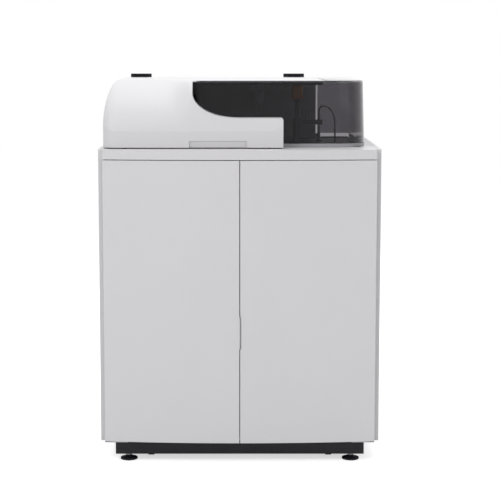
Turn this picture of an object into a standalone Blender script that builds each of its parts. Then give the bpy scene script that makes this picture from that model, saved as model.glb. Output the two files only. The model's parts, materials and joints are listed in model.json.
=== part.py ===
"""Floor-standing chemistry analyzer: a two-door cabinet on a tube base, with a hinged lid over its deck.

Metres, +Z up. The front faces -Y. The origin is on the floor, under the middle of the machine.
"""

import math

import bmesh
import bpy
from mathutils import Matrix, Vector

# Clearances
SEAT_GAP = 0.0003          # between pieces that rest on or against each other
PIN_CLEARANCE = 0.0003     # round a pin in its hole
CUT_PAST = 0.010           # how far a cutter runs past the face that it opens
DOOR_GAP = 0.0024          # between the two doors, and between a door and the worktop

# Cabinet
HALF_WIDTH = 0.435
DEPTH = 0.750
PANEL_THICK = 0.0145       # folded edge of a side panel
SHEET = 0.0015             # steel sheet
CABINET_TOP = 0.9785
BOW = 0.025                # how far the doors stand out at the middle
FLANGE_SETBACK = 0.050     # side panels' front edge behind the doors' middle

# Base frame
TUBE = 0.040
FRAME_SIDE_INSET = 0.0463  # frame inside the cabinet's sides
FRAME_SETBACK = 0.040
FLOOR_CLEARANCE = 0.023    # under the frame
FLOOR_SHEET = 0.004

# Levelling feet
FOOT_RADIUS = 0.027
FOOT_DISC = 0.006
FOOT_NECK_RADIUS = 0.010
FOOT_STEM_RADIUS = 0.006
FOOT_SIDE_INSET = 0.0397   # stem inside the frame's side
FOOT_INSET = 0.030        # stem behind the frame's front face
FOOT_HOLE_DEPTH = 0.026

# Casters
WHEEL_RADIUS = 0.024
WHEEL_WIDTH = 0.026
WHEEL_LIFT = 0.001         # the feet hold the wheels off the floor
CASTER_SIDE_INSET = 0.1077 # kingpin inside the frame's side
CASTER_INSET = 0.085       # kingpin behind the frame's front face
CASTER_TRAIL = 0.012
FORK_SHEET = 0.003
FORK_SIDE_GAP = 0.0012
FORK_REACH = 1.9           # fork's far edge, in trails behind the kingpin
FORK_BELOW_AXLE = 0.006
AXLE_RADIUS = 0.004
AXLE_END = 0.0015          # axle past the fork
TYRE_SIDE = 0.008          # width of the tyre's bevelled shoulder, seen from its side and its tread
TYRE_SHOULDER = 0.004
KINGPIN_RADIUS = 0.005
KINGPIN_SHORT = 0.001      # under the frame's top
CASTER_PLATE = 0.004
CASTER_PLATE_DEPTH = 0.090

# Doors
DOOR_THICK = 0.020
DOOR_END_GAP = 0.0145      # door's outer end inside the cabinet's side
DOOR_SKIN = 0.0015
HINGE_STILE = 0.018
PIVOT_INSET = 0.008
PIVOT_RADIUS = 0.003
PIVOT_DEPTH = 0.012
PIVOT_PLATE = 0.0026
PULL_LOW = 0.364
PULL_HIGH = 0.464
PULL_REACH = 0.0031
PULL_SETBACK = 0.0005
PULL_DEPTH = 0.0065
EDGE_STILE = 0.007
PIVOT_SOCKET = 0.012       # in the worktop

# Back and middle of the cabinet
REAR_SHEET = 0.002
PARTITION = 0.002
PARTITION_SETBACK = 0.055  # partition's front edge behind the doors' middle
VENT_X = 0.220
VENT_LOW = 0.780
VENT_SLOTS = 6
VENT_PITCH = 0.016
VENT_SLOT = 0.007
VENT_LENGTH = 0.100
INLET_CENTRE = (0.320, 0.160)
INLET_SIZE = (0.050, 0.062)
FAN_CENTRE = (-0.220, 0.560)
FAN_RADIUS = 0.057

# Worktop
WORKTOP_THICK = 0.030
WORKTOP_SKIN = 0.004
WORKTOP_WALL = 0.012
WORKTOP_SIDE_GAP = 0.0005
DECK_SIDE_INSETS = (0.050, 0.055)  # deck's left and right end inside the cabinet's sides
DECK_FRONT_INSET = 0.150
DECK_REAR_INSET = 0.038
DECK_THICK = 0.005
DECK_LIP = 0.010           # deck sheet under the worktop round the cut-out

# Lid
LID_HEIGHT = 0.207         # roof over the worktop
LID_WALL = 0.004
HOOD_SIDE_INSET = 0.012    # hood inside the cabinet's side
HOOD_SETBACK = 0.060       # hood's front behind the doors' middle
HOOD_LIFT = 0.0035         # hood over the worktop
HOOD_REAR_GAP = 0.004      # hood's side in front of the upright
SKIRT_HEIGHT = 0.050       # up to the crease, where the hood's front starts to lean back
HOOD_LEAN = math.radians(10)
CROWN_DEPTH = 0.210        # how far the crown runs back to the roof, and in from the side
CROWN_SIDE = 0.035
CROWN_POWER = 0.55         # 0.5 would be a quarter of an ellipse
HOOD_SHARES = (0.0, 0.12, 0.26, 0.45, 0.63, 0.78, 0.89, 0.96, 1.0)
HOOD_CORNER = 0.040        # front corner's radius at the skirt
CORNER_GROWTH = 0.020      # and what it gains up to the roof
TINY_CORNER = 0.001
UPRIGHT_SHARES = (1.0, 0.93, 0.75, 0.45)
UPRIGHT_INSIDE = 0.001     # upright inside the hood's side
ROOF_SHORT = 0.133         # roof's right end inside the cover's
ROOF_LIP = 0.006           # roof's front strip behind the cover's front
ROOF_STRIP = 0.159         # depth of that strip, back to the hood's own roof
UPRIGHT_REAR_INSET = 0.023 # upright inside the cabinet's back
UPRIGHT_THICK = 0.010
UPRIGHT_PAST_ROOF = 0.003
LID_GAP = 0.0006
HOOD_SOLID = 0.274         # hood's width to the left of its window
SWEEP_BELOW_ROOF = 0.0375  # where the window's left edge starts to sweep down to the sill
SWEEP_DROP = 0.028         # how far it still runs straight down
SWEEP_TURN = 0.039         # and how far before its end it is level
SWEEP_WIDTH = 0.149
SILL_HEIGHT = 0.090        # over the hood's lower edge
SILL_REACH = 0.283         # sill's right end from the window's left edge
SILL_CORNER = 0.006
COVER_SETBACK = 0.075      # cover's front behind the hood's
COVER_SIDE_INSET = 0.039   # cover inside the cabinet's side
COVER_LIFT = 0.012         # cover over the worktop, with room for the rim
COVER_CORNER = 0.095
COVER_DRAFT = 0.006
COVER_LEFT_CORNER = 0.030
COVER_REAR_CORNER = 0.020
COVER_EDGE = 0.005         # rounding of its top edge
COVER_PAST_UPRIGHT = 0.006
SEAL_INSETS = (0.034, 0.005)       # inside the window's left edge and the roof's end
SEAL_HEIGHT = 0.009
SEAL_DEPTH = 0.010
RETURN_DEPTH = 0.033       # how far behind the cover's front the hood's wall follows the window
RIM_WIDTH = 0.010
GRIP_START = 0.267         # from the hood's left side
GRIP_LENGTH = 0.178
GRIP_HEIGHT = 0.021
GRIP_DEPTH = 0.016
HINGE_INSETS = (0.078, 0.074)      # inside the hood's left side and the roof's end
HINGE_LENGTH = 0.072
HINGE_RADIUS = 0.005
HINGE_PIN_RADIUS = 0.0025
HINGE_AXIS_BEHIND = 0.008  # axis behind the upright
HINGE_AXIS_ABOVE = 0.0075  # and over the roof
HINGE_LUG = 0.011
HINGE_LEAF = 0.003
HINGE_LEAF_DROP = 0.060    # leaf's lower end under the axis
HINGE_FLAP = 0.045
HINGE_FLAP_GRIP = 0.0012   # flap let into the knuckle
BUMPER_INSETS = (0.070, 0.044)     # inside the hood's left side and the sill's end
BUMPER_HALF_DEPTH = 0.0018
BUMPER_STRETCH = 3.6

# Instruments on the deck
REACTION_CENTRE = (0.120, 0.139)
REACTION_RADIUS = 0.115
REACTION_HUB = (0.022, 0.010)      # radius and height of the hub, and of a vessel below
CUVETTE_RING = 0.098
CUVETTES = 24
CUVETTE_SIZE = (0.0055, 0.003)
REAGENT_SIDE_INSET = 0.185 # middle of the reagent disk from the deck's left end
REAGENT_Y = 0.030
REAGENT_RADIUS = 0.150
REAGENT_HUB = (0.030, 0.014)
BOTTLE_RING = 0.122
BOTTLES = 16
BOTTLE_SIZE = (0.018, 0.005)
DISK_THICK = 0.008
SPINDLE_RADIUS = 0.012
SPINDLE_GAP = 0.0005
SPINDLE_BELOW = 0.004      # spindle under the deck
ARM_STROKE = 0.050         # how far the probe's and the mixer's arm go down
ARM_END_GAP = 0.002        # left at the end of that stroke
PROBE_CENTRE = (0.056, -0.085)
PROBE_REACH = 0.150
PROBE_WIDTH = 0.043
PROBE_HEADROOM = 0.0345    # under the roof
PROBE_ARM_HEIGHT = 0.039
PROBE_TIP = 0.012          # arm past the needle
PROBE_COLUMN = 0.009
NEEDLE_RADIUS = 0.0014
NEEDLE_LENGTH = 0.068
MIXER_CENTRE = (0.188, 0.003)
MIXER_REACH = 0.070
MIXER_HEADROOM = 0.0185
MIXER_WIDTH = 0.036
MIXER_CAP = 0.047
MIXER_CAP_CORNER = 0.010
MIXER_CAP_EDGE = 0.004
MIXER_COLLAR = 0.015
MIXER_COLUMN = 0.006
MIXER_PLATE = 0.008
MIXER_PLATE_HALF = 0.011
MIXER_PLATE_END = 0.008    # plate past the paddle
PADDLE_RADIUS = 0.0018
WASH_POST = (0.268, 0.145)
WASH_POST_HEIGHT = 0.1038  # over the deck
WASH_POST_RADIUS = 0.004
WASH_BASE_RADIUS = 0.010
WASH_BASE = 0.006
WASH_HEAD_LIFT = 0.0568    # over the deck
WASH_HEAD_HEIGHT = 0.016
WASH_HEAD_LEFT = 0.206
WASH_HEAD_HALF = 0.011     # half its depth, and its reach to the right of the post
WASH_NOZZLES = 3
WASH_PITCH = 0.011
WASH_NOZZLE_RADIUS = 0.0015
WASH_NOZZLE_BELOW = 0.010
WASH_NOZZLE_ABOVE = 0.030
WASH_TUBE_RADIUS = 0.0032
WASH_TUBE_X = 0.321
WASH_TUBE_HEIGHT = 0.1218  # over the deck

# Tanks, power supply and pump
WASTE_X = 0.110
WASTE_SIZE = (0.150, 0.240, 0.300)
WATER_HEIGHT = 0.360
TANK_Y = 0.060
TANKS_APART = 0.025
TANK_SIDE_GAP = 0.0305     # water tank beside the side panel
DETERGENT_SIZE = (0.110, 0.110, 0.220)
DETERGENT_SIDE_GAP = 0.0455
DETERGENT_Y = -0.120
TANK_CORNER = 0.022
TANK_SHOULDER_IN = 0.020
TANK_SHOULDER_DROP = 0.030
NECK_HEIGHT = 0.022
CAP_WALL = 0.004
SUPPLY_SIZE = (0.110, 0.240, 0.170)
SUPPLY_REAR_GAP = 0.013    # power supply in front of the rear panel
SUPPLY_EDGE = 0.002
PUMP_SIDE_GAP = 0.0505     # plate beside the side panel
PUMP_Y = 0.140
PUMP_PLATE = (0.070, 0.060)        # half its width and depth
PUMP_PLATE_THICK = 0.012
PUMP_MOTOR_RADIUS = 0.045
PUMP_MOTOR_TOP = 0.110
PUMP_HEAD_HALF = 0.030
PUMP_TOP = 0.150

# Fittings on the back
INLET_DEPTH = 0.022        # behind the rear panel
INLET_SETBACK = 0.0005
SOCKET_HALF_WIDTH = 0.013
SOCKET_DEPTH = 0.016
SOCKET_BORDER = 0.006
PIN_PLACES = ((-0.007, -0.004), (0.007, -0.004), (0.0, 0.003))
PIN_HALF = (0.0012, 0.0025)
PIN_SETBACK = 0.006
ROCKER_HALF = (0.010, 0.0075)
ROCKER_GAP = 0.001
ROCKER_WELL = 0.012
ROCKER_TILT = 10           # the switch rests in its off position
ROCKER_AXIS_DEPTH = 0.004
ROCKER_THICK = 0.004
ROCKER_DIP = 0.0015        # the hollow at the middle of its face
ROCKER_RIDGE = 0.002       # the ridge that it rocks on
FAN_SLOTS = 9
GRILLE_THICK = 0.004
GRILLE_BORDER = 0.006
GRILLE_OPEN = 0.64         # share of a slot's pitch that is open

# Values that follow
FRONT = -DEPTH / 2
BACK = DEPTH / 2
FRAME_HALF_WIDTH = HALF_WIDTH - FRAME_SIDE_INSET
FOOT_X = FRAME_HALF_WIDTH - FOOT_SIDE_INSET
CASTER_X = FRAME_HALF_WIDTH - CASTER_SIDE_INSET
FRAME_TOP = FLOOR_CLEARANCE + TUBE
FRAME_FRONT = FRONT + FRAME_SETBACK
FRAME_BACK = BACK - FRAME_SETBACK
FLOOR_LOW = FRAME_TOP + SEAT_GAP
FLOOR_TOP = FLOOR_LOW + FLOOR_SHEET
PANEL_LOW = FLOOR_TOP + SEAT_GAP
PANEL_FRONT = FRONT + FLANGE_SETBACK
INNER_X = HALF_WIDTH - PANEL_THICK
WORKTOP_LOW = CABINET_TOP - WORKTOP_THICK
WORKTOP_HALF = INNER_X - WORKTOP_SIDE_GAP
DOOR_HALF = HALF_WIDTH - DOOR_END_GAP
DOOR_TOP = WORKTOP_LOW - DOOR_GAP
DOOR_LOW = FLOOR_TOP
DOOR_BACK = FRONT + BOW + DOOR_THICK
PIVOT_X = DOOR_HALF - PIVOT_INSET
PIVOT_Y = DOOR_BACK - DOOR_THICK / 2
REAR_FACE = BACK - REAR_SHEET
PARTITION_FRONT = FRONT + PARTITION_SETBACK
DECK_TOP = CABINET_TOP - WORKTOP_SKIN - SEAT_GAP
DECK_X = (-HALF_WIDTH + DECK_SIDE_INSETS[0], HALF_WIDTH - DECK_SIDE_INSETS[1])
DECK_Y = (FRONT + DECK_FRONT_INSET, BACK - DECK_REAR_INSET)
REAGENT_CENTRE = (DECK_X[0] + REAGENT_SIDE_INSET, REAGENT_Y)
SUPPLY_FRONT = REAR_FACE - SUPPLY_REAR_GAP - SUPPLY_SIZE[1]
LID_TOP = CABINET_TOP + LID_HEIGHT
UPRIGHT_REAR = BACK - UPRIGHT_REAR_INSET
HOOD_LEFT = -HALF_WIDTH + HOOD_SIDE_INSET
HOOD_FRONT = FRONT + HOOD_SETBACK
HOOD_REAR = UPRIGHT_REAR - UPRIGHT_THICK - HOOD_REAR_GAP
HOOD_BOTTOM = CABINET_TOP + HOOD_LIFT
CREASE = HOOD_BOTTOM + SKIRT_HEIGHT
COVER_FRONT = HOOD_FRONT + COVER_SETBACK
COVER_RIGHT = HALF_WIDTH - COVER_SIDE_INSET
COVER_BOTTOM = CABINET_TOP + COVER_LIFT
ROOF_RIGHT = COVER_RIGHT - ROOF_SHORT
ROOF_FRONT = COVER_FRONT + ROOF_LIP
ROOF_BACK_EDGE = ROOF_FRONT + ROOF_STRIP
UPRIGHT_RIGHT = ROOF_RIGHT + UPRIGHT_PAST_ROOF
COVER_REAR_LEFT = UPRIGHT_RIGHT + COVER_PAST_UPRIGHT
WINDOW_LEFT = HOOD_LEFT + HOOD_SOLID
SWEEP_TOP = LID_TOP - SWEEP_BELOW_ROOF
SWEEP_RIGHT = WINDOW_LEFT + SWEEP_WIDTH
SILL_TOP = HOOD_BOTTOM + SILL_HEIGHT
SILL_RIGHT = WINDOW_LEFT + SILL_REACH
RETURN_REAR = COVER_FRONT + RETURN_DEPTH
SEAL_X = (WINDOW_LEFT + SEAL_INSETS[0], ROOF_RIGHT - SEAL_INSETS[1])
GRIP_X = (HOOD_LEFT + GRIP_START, HOOD_LEFT + GRIP_START + GRIP_LENGTH)
HINGE_X = (HOOD_LEFT + HINGE_INSETS[0], ROOF_RIGHT - HINGE_INSETS[1])
HINGE_AXIS_Y = UPRIGHT_REAR + HINGE_AXIS_BEHIND
HINGE_AXIS_Z = LID_TOP + HINGE_AXIS_ABOVE
BUMPER_X = (HOOD_LEFT + BUMPER_INSETS[0], SILL_RIGHT - BUMPER_INSETS[1])
PROBE_TOP = LID_TOP - PROBE_HEADROOM
MIXER_TOP = LID_TOP - MIXER_HEADROOM
WASH_POST_TOP = DECK_TOP + WASH_POST_HEIGHT
WASH_HEAD_LOW = DECK_TOP + WASH_HEAD_LIFT
WASH_HEAD_HIGH = WASH_HEAD_LOW + WASH_HEAD_HEIGHT
WASH_TUBE_TOP = DECK_TOP + WASH_TUBE_HEIGHT
PUMP_CENTRE = (-INNER_X + PUMP_SIDE_GAP + PUMP_PLATE[0], PUMP_Y)
WATER_LEFT = WASTE_X + WASTE_SIZE[0] / 2 + TANKS_APART
WATER_RIGHT = INNER_X - TANK_SIDE_GAP
WATER_X = (WATER_LEFT + WATER_RIGHT) / 2
WATER_SIZE = (WATER_RIGHT - WATER_LEFT, WASTE_SIZE[1], WATER_HEIGHT)
DETERGENT_X = -INNER_X + DETERGENT_SIDE_GAP + DETERGENT_SIZE[0] / 2


def clear_scene():
    for obj in list(bpy.data.objects):
        bpy.data.objects.remove(obj, do_unlink=True)


def finish(name, colour, roughness, metallic=0.0, alpha=1.0):
    """A Principled material; colour is linear red, green, blue."""
    material = bpy.data.materials.new(name)
    material.use_nodes = True
    shader = material.node_tree.nodes["Principled BSDF"]
    shader.inputs["Base Color"].default_value = (*colour, 1.0)
    shader.inputs["Roughness"].default_value = roughness
    shader.inputs["Metallic"].default_value = metallic
    shader.inputs["Alpha"].default_value = alpha
    material.diffuse_color = (*colour, alpha)
    return material


def box(x, y, z):
    """A block between two corners, each given as (low, high) along an axis."""
    bm = bmesh.new()
    bmesh.ops.create_cube(bm, size=1.0)
    low, high = Vector((x[0], y[0], z[0])), Vector((x[1], y[1], z[1]))
    size = high - low
    place = Matrix.Translation((low + high) / 2) @ Matrix.Diagonal((*size, 1.0))
    bmesh.ops.transform(bm, matrix=place, verts=bm.verts)
    return bm


def prism(outline, low, high, along):
    """The outline, drawn in the two axes other than `along`, extruded from low to high."""
    corner = {
        "X": lambda a, b, h: (h, a, b),
        "Y": lambda a, b, h: (a, h, b),
        "Z": lambda a, b, h: (a, b, h),
    }[along]
    step = {"X": (1, 0, 0), "Y": (0, 1, 0), "Z": (0, 0, 1)}[along]
    bm = bmesh.new()
    face = bm.faces.new([bm.verts.new(corner(a, b, low)) for a, b in outline])
    grown = bmesh.ops.extrude_face_region(bm, geom=[face])
    tops = [item for item in grown["geom"] if isinstance(item, bmesh.types.BMVert)]
    bmesh.ops.translate(bm, vec=Vector(step) * (high - low), verts=tops)
    bmesh.ops.recalc_face_normals(bm, faces=bm.faces)
    return bm


def turned(profile, centre, steps=24, along="Z", closed=False):
    """A profile of (radius, height) points turned about an axis through centre."""
    bm = bmesh.new()
    verts = [bm.verts.new((radius, 0.0, height)) for radius, height in profile]
    edges = [bm.edges.new(pair) for pair in zip(verts, verts[1:])]
    if closed:
        edges.append(bm.edges.new((verts[-1], verts[0])))
    bmesh.ops.spin(
        bm, geom=verts + edges, cent=(0, 0, 0), axis=(0, 0, 1), angle=2 * math.pi, steps=steps, use_merge=True
    )
    bmesh.ops.remove_doubles(bm, verts=bm.verts, dist=1e-6)
    bmesh.ops.recalc_face_normals(bm, faces=bm.faces)
    turn = {"X": Matrix.Rotation(math.pi / 2, 4, "Y"), "Y": Matrix.Rotation(-math.pi / 2, 4, "X")}
    bmesh.ops.transform(bm, matrix=Matrix.Translation(centre) @ turn.get(along, Matrix()), verts=bm.verts)
    return bm


def rod(radius, centre, low, high, steps=16, along="Z"):
    return turned([(0, low), (radius, low), (radius, high), (0, high)], centre, steps, along)


def loft(rings):
    """A closed solid through rings of points, each ring with as many points as the next."""
    bm = bmesh.new()
    loops = [[bm.verts.new(point) for point in ring] for ring in rings]
    count = len(loops[0])
    for lower, upper in zip(loops, loops[1:]):
        for i in range(count):
            j = (i + 1) % count
            bm.faces.new((lower[i], lower[j], upper[j], upper[i]))
    bm.faces.new(loops[0])
    bm.faces.new(loops[-1])
    bmesh.ops.recalc_face_normals(bm, faces=bm.faces)
    return bm


def arc(centre, radius, start, end, steps):
    """Points on an arc; the angles are in degrees."""
    angles = [math.radians(start + (end - start) * i / steps) for i in range(steps + 1)]
    return [(centre[0] + radius * math.cos(a), centre[1] + radius * math.sin(a)) for a in angles]


def rounded(x, y, corners, steps=6):
    """A rectangle's outline with its own radius at each corner, from the front left one anticlockwise."""
    front_left, front_right, rear_right, rear_left = corners
    return (
        arc((x[0] + front_left, y[0] + front_left), front_left, 180, 270, steps)
        + arc((x[1] - front_right, y[0] + front_right), front_right, 270, 360, steps)
        + arc((x[1] - rear_right, y[1] - rear_right), rear_right, 0, 90, steps)
        + arc((x[0] + rear_left, y[1] - rear_left), rear_left, 90, 180, steps)
    )


def bezier(p0, p1, p2, p3, steps):
    points = []
    for i in range(steps + 1):
        t = i / steps
        weights = ((1 - t) ** 3, 3 * t * (1 - t) ** 2, 3 * t * t * (1 - t), t**3)
        points.append(tuple(sum(w * p[k] for w, p in zip(weights, (p0, p1, p2, p3))) for k in (0, 1)))
    return points


def moved_right(path, distance):
    """An open path moved to the right of its direction of travel."""
    result = []
    for i, point in enumerate(path):
        before = Vector(path[max(i - 1, 0)])
        after = Vector(path[min(i + 1, len(path) - 1)])
        along = (after - before).normalized()
        result.append((point[0] + along.y * distance, point[1] - along.x * distance))
    return result


def solid(name, bm, material, pivot=None):
    """One sub-part. A moving one hangs from the empty on its joint axis, which is its origin."""
    mesh = bpy.data.meshes.new(name)
    if pivot is not None:
        bmesh.ops.translate(bm, vec=-pivot.location, verts=bm.verts)
    bm.to_mesh(mesh)
    bm.free()
    mesh.materials.append(material)
    mesh.shade_smooth()
    mesh.set_sharp_from_angle(angle=math.radians(32))
    obj = bpy.data.objects.new(name, mesh)
    bpy.context.collection.objects.link(obj)
    obj.parent = pivot
    return obj


def axis_at(name, location, parent=None):
    """An empty on a joint's axis."""
    empty = bpy.data.objects.new(name, None)
    empty.empty_display_size = 0.03
    bpy.context.collection.objects.link(empty)
    empty.location = location
    if parent is not None:
        empty.parent = parent
        empty.matrix_parent_inverse = Matrix.Translation(-parent.location)
    return empty


def helper(name, bm):
    """A hidden object that only cuts or adds."""
    mesh = bpy.data.meshes.new(name)
    bm.to_mesh(mesh)
    bm.free()
    obj = bpy.data.objects.new(name, mesh)
    bpy.context.collection.objects.link(obj)
    obj.hide_render = True
    obj.display_type = "WIRE"
    return obj


def combine(obj, operation, bm_or_helper):
    """Adds a Boolean to obj and returns the helper that it uses."""
    count = len(obj.modifiers)
    other = bm_or_helper
    if isinstance(other, bmesh.types.BMesh):
        other = helper(f"{operation.lower()}_{obj.name}_{count}", other)
    boolean = obj.modifiers.new(f"{operation.lower()}_{count}", "BOOLEAN")
    boolean.operation = operation
    boolean.object = other
    return other


def cut(obj, bm):
    return combine(obj, "DIFFERENCE", bm)


def add(obj, bm):
    return combine(obj, "UNION", bm)


def soften(obj, width, segments=2, angle=40):
    """Rounds the edges of a finished shape."""
    bevel = obj.modifiers.new("rounded_edges", "BEVEL")
    bevel.width = width
    bevel.segments = segments
    bevel.limit_method = "ANGLE"
    bevel.angle_limit = math.radians(angle)
    return obj


clear_scene()
WHITE = finish("white_powder_coat", (0.60, 0.60, 0.61), 0.45)
HOOD_WHITE = finish("white_moulding", (0.78, 0.78, 0.79), 0.30)
FRAME_BLACK = finish("black_powder_coat", (0.022, 0.021, 0.028), 0.50)
RUBBER = finish("black_rubber", (0.011, 0.011, 0.016), 0.70)
TREAD = finish("brown_polyurethane", (0.10, 0.04, 0.045), 0.55)
ZINC = finish("zinc_plate", (0.55, 0.55, 0.56), 0.35, 1.0)
SMOKE = finish("smoked_acrylic", (0.05, 0.05, 0.055), 0.08, 0.0, 0.6)
DECK_GREY = finish("dark_grey_plastic", (0.06, 0.058, 0.062), 0.45)
ARM_GREY = finish("grey_plastic", (0.22, 0.22, 0.23), 0.40)
AMBER = finish("amber_plastic", (0.23, 0.10, 0.03), 0.30)
STEEL = finish("stainless_steel", (0.60, 0.60, 0.61), 0.28, 1.0)
NATURAL = finish("natural_polyethylene", (0.68, 0.68, 0.65), 0.40)
CAP_BLUE = finish("blue_cap", (0.04, 0.13, 0.38), 0.40)
CAP_RED = finish("red_cap", (0.40, 0.03, 0.03), 0.40)
TUBE_CLEAR = finish("clear_tube", (0.55, 0.57, 0.58), 0.20)


def bow_y(x, setback=0.0):
    """The doors' front: a circular arc that is BOW deep over the doors' width."""
    radius = (DOOR_HALF**2 + BOW**2) / (2 * BOW)
    return FRONT + setback + radius - math.sqrt(radius**2 - x**2)


def bowed_outline(x_low, x_high, back, steps=10, setback=0.0):
    """A plan outline with the bowed front, or a line behind it, and a straight back."""
    front = []
    for i in range(steps + 1):
        x = x_low + (x_high - x_low) * i / steps
        front.append((x, bow_y(x, setback)))
    return front + [(x_high, back), (x_low, back)]


# Base frame: a welded ring of square tube with a middle tube and a plate for each caster
def base_frame():
    x = (-FRAME_HALF_WIDTH, FRAME_HALF_WIDTH)
    frame = solid("base_frame", box(x, (FRAME_FRONT, FRAME_BACK), (FLOOR_CLEARANCE, FRAME_TOP)), FRAME_BLACK)
    bay_y = (FRAME_FRONT + TUBE, FRAME_BACK - TUBE)
    for side in (-1, 1):
        bay_x = sorted((side * TUBE / 2, side * (FRAME_HALF_WIDTH - TUBE)))
        cut(frame, box(bay_x, bay_y, (FLOOR_CLEARANCE - CUT_PAST, FRAME_TOP - CASTER_PLATE)))
        between_plates = (bay_y[0] + CASTER_PLATE_DEPTH, bay_y[1] - CASTER_PLATE_DEPTH)
        cut(frame, box(bay_x, between_plates, (FLOOR_CLEARANCE, FRAME_TOP + CUT_PAST)))
    for x, y in foot_places():
        hole_z = (FLOOR_CLEARANCE - CUT_PAST, FLOOR_CLEARANCE + FOOT_HOLE_DEPTH)
        cut(frame, rod(FOOT_STEM_RADIUS + PIN_CLEARANCE, (x, y, 0), *hole_z))
    for x, y in caster_places():
        hole_z = (FRAME_TOP - CUT_PAST, FRAME_TOP + CUT_PAST)
        cut(frame, rod(KINGPIN_RADIUS + PIN_CLEARANCE, (x, y, 0), *hole_z))


def foot_places():
    front, back = FRAME_FRONT + FOOT_INSET, FRAME_BACK - FOOT_INSET
    return [(side * FOOT_X, y) for y in (front, back) for side in (-1, 1)]


def caster_places():
    front, back = FRAME_FRONT + CASTER_INSET, FRAME_BACK - CASTER_INSET
    return [(side * CASTER_X, y) for y in (front, back) for side in (-1, 1)]


CORNER_NAMES = ("front_left", "front_right", "back_left", "back_right")


# Levelling feet: a turned rubber-faced disc with a waisted neck and a stem in the frame
def levelling_feet():
    stem_top = FLOOR_CLEARANCE + FOOT_HOLE_DEPTH - 0.002
    profile = [
        (0, 0),
        (FOOT_RADIUS, 0),
        (FOOT_RADIUS, FOOT_DISC),
        (FOOT_NECK_RADIUS + 0.004, FOOT_DISC + 0.003),
        (FOOT_NECK_RADIUS, FOOT_DISC + 0.007),
        (FOOT_NECK_RADIUS, FLOOR_CLEARANCE - SEAT_GAP),
        (FOOT_STEM_RADIUS, FLOOR_CLEARANCE - SEAT_GAP),
        (FOOT_STEM_RADIUS, stem_top),
        (0, stem_top),
    ]
    for corner, (x, y) in zip(CORNER_NAMES, foot_places()):
        pivot = axis_at(f"foot_axis_{corner}", (x, y, 0))
        solid(f"levelling_foot_{corner}", turned(profile, (x, y, 0), 18), RUBBER, pivot)


# Casters: a folded fork on a kingpin, with the axle fixed in it, and a wheel that runs on the axle
def casters():
    wheel_z = WHEEL_LIFT + WHEEL_RADIUS
    crown_top = FRAME_TOP - CASTER_PLATE - SEAT_GAP
    fork_half = WHEEL_WIDTH / 2 + FORK_SIDE_GAP
    for corner, (x, y) in zip(CORNER_NAMES, caster_places()):
        trail = CASTER_TRAIL if y > 0 else -CASTER_TRAIL
        swivel = axis_at(f"swivel_axis_{corner}", (x, y, 0))
        spin = axis_at(f"wheel_axis_{corner}", (x, y + trail, wheel_z), swivel)
        fork_x = (x - fork_half - FORK_SHEET, x + fork_half + FORK_SHEET)
        leg_y = sorted((y - trail, y + trail * FORK_REACH))
        fork_z = (wheel_z - FORK_BELOW_AXLE, crown_top)
        fork = solid(f"caster_fork_{corner}", box(fork_x, leg_y, fork_z), ZINC, swivel)
        clear_x = (x - fork_half, x + fork_half)
        clear_y = (y - 2 * WHEEL_RADIUS, y + 2 * WHEEL_RADIUS)
        cut(fork, box(clear_x, clear_y, (0, crown_top - FORK_SHEET)))
        add(fork, rod(KINGPIN_RADIUS, (x, y, 0), crown_top - FORK_SHEET / 2, FRAME_TOP - KINGPIN_SHORT))
        axle_half = fork_half + FORK_SHEET + AXLE_END
        add(fork, rod(AXLE_RADIUS, (x, y + trail, wheel_z), -axle_half, axle_half, 12, "X"))
        bore = AXLE_RADIUS + PIN_CLEARANCE
        half = WHEEL_WIDTH / 2
        tyre = [
            (bore, -half),
            (WHEEL_RADIUS - TYRE_SIDE, -half),
            (WHEEL_RADIUS, -half + TYRE_SHOULDER),
            (WHEEL_RADIUS, half - TYRE_SHOULDER),
            (WHEEL_RADIUS - TYRE_SIDE, half),
            (bore, half),
        ]
        place = (x, y + trail, wheel_z)
        solid(f"caster_wheel_{corner}", turned(tyre, place, 20, "X", closed=True), TREAD, spin)


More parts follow.
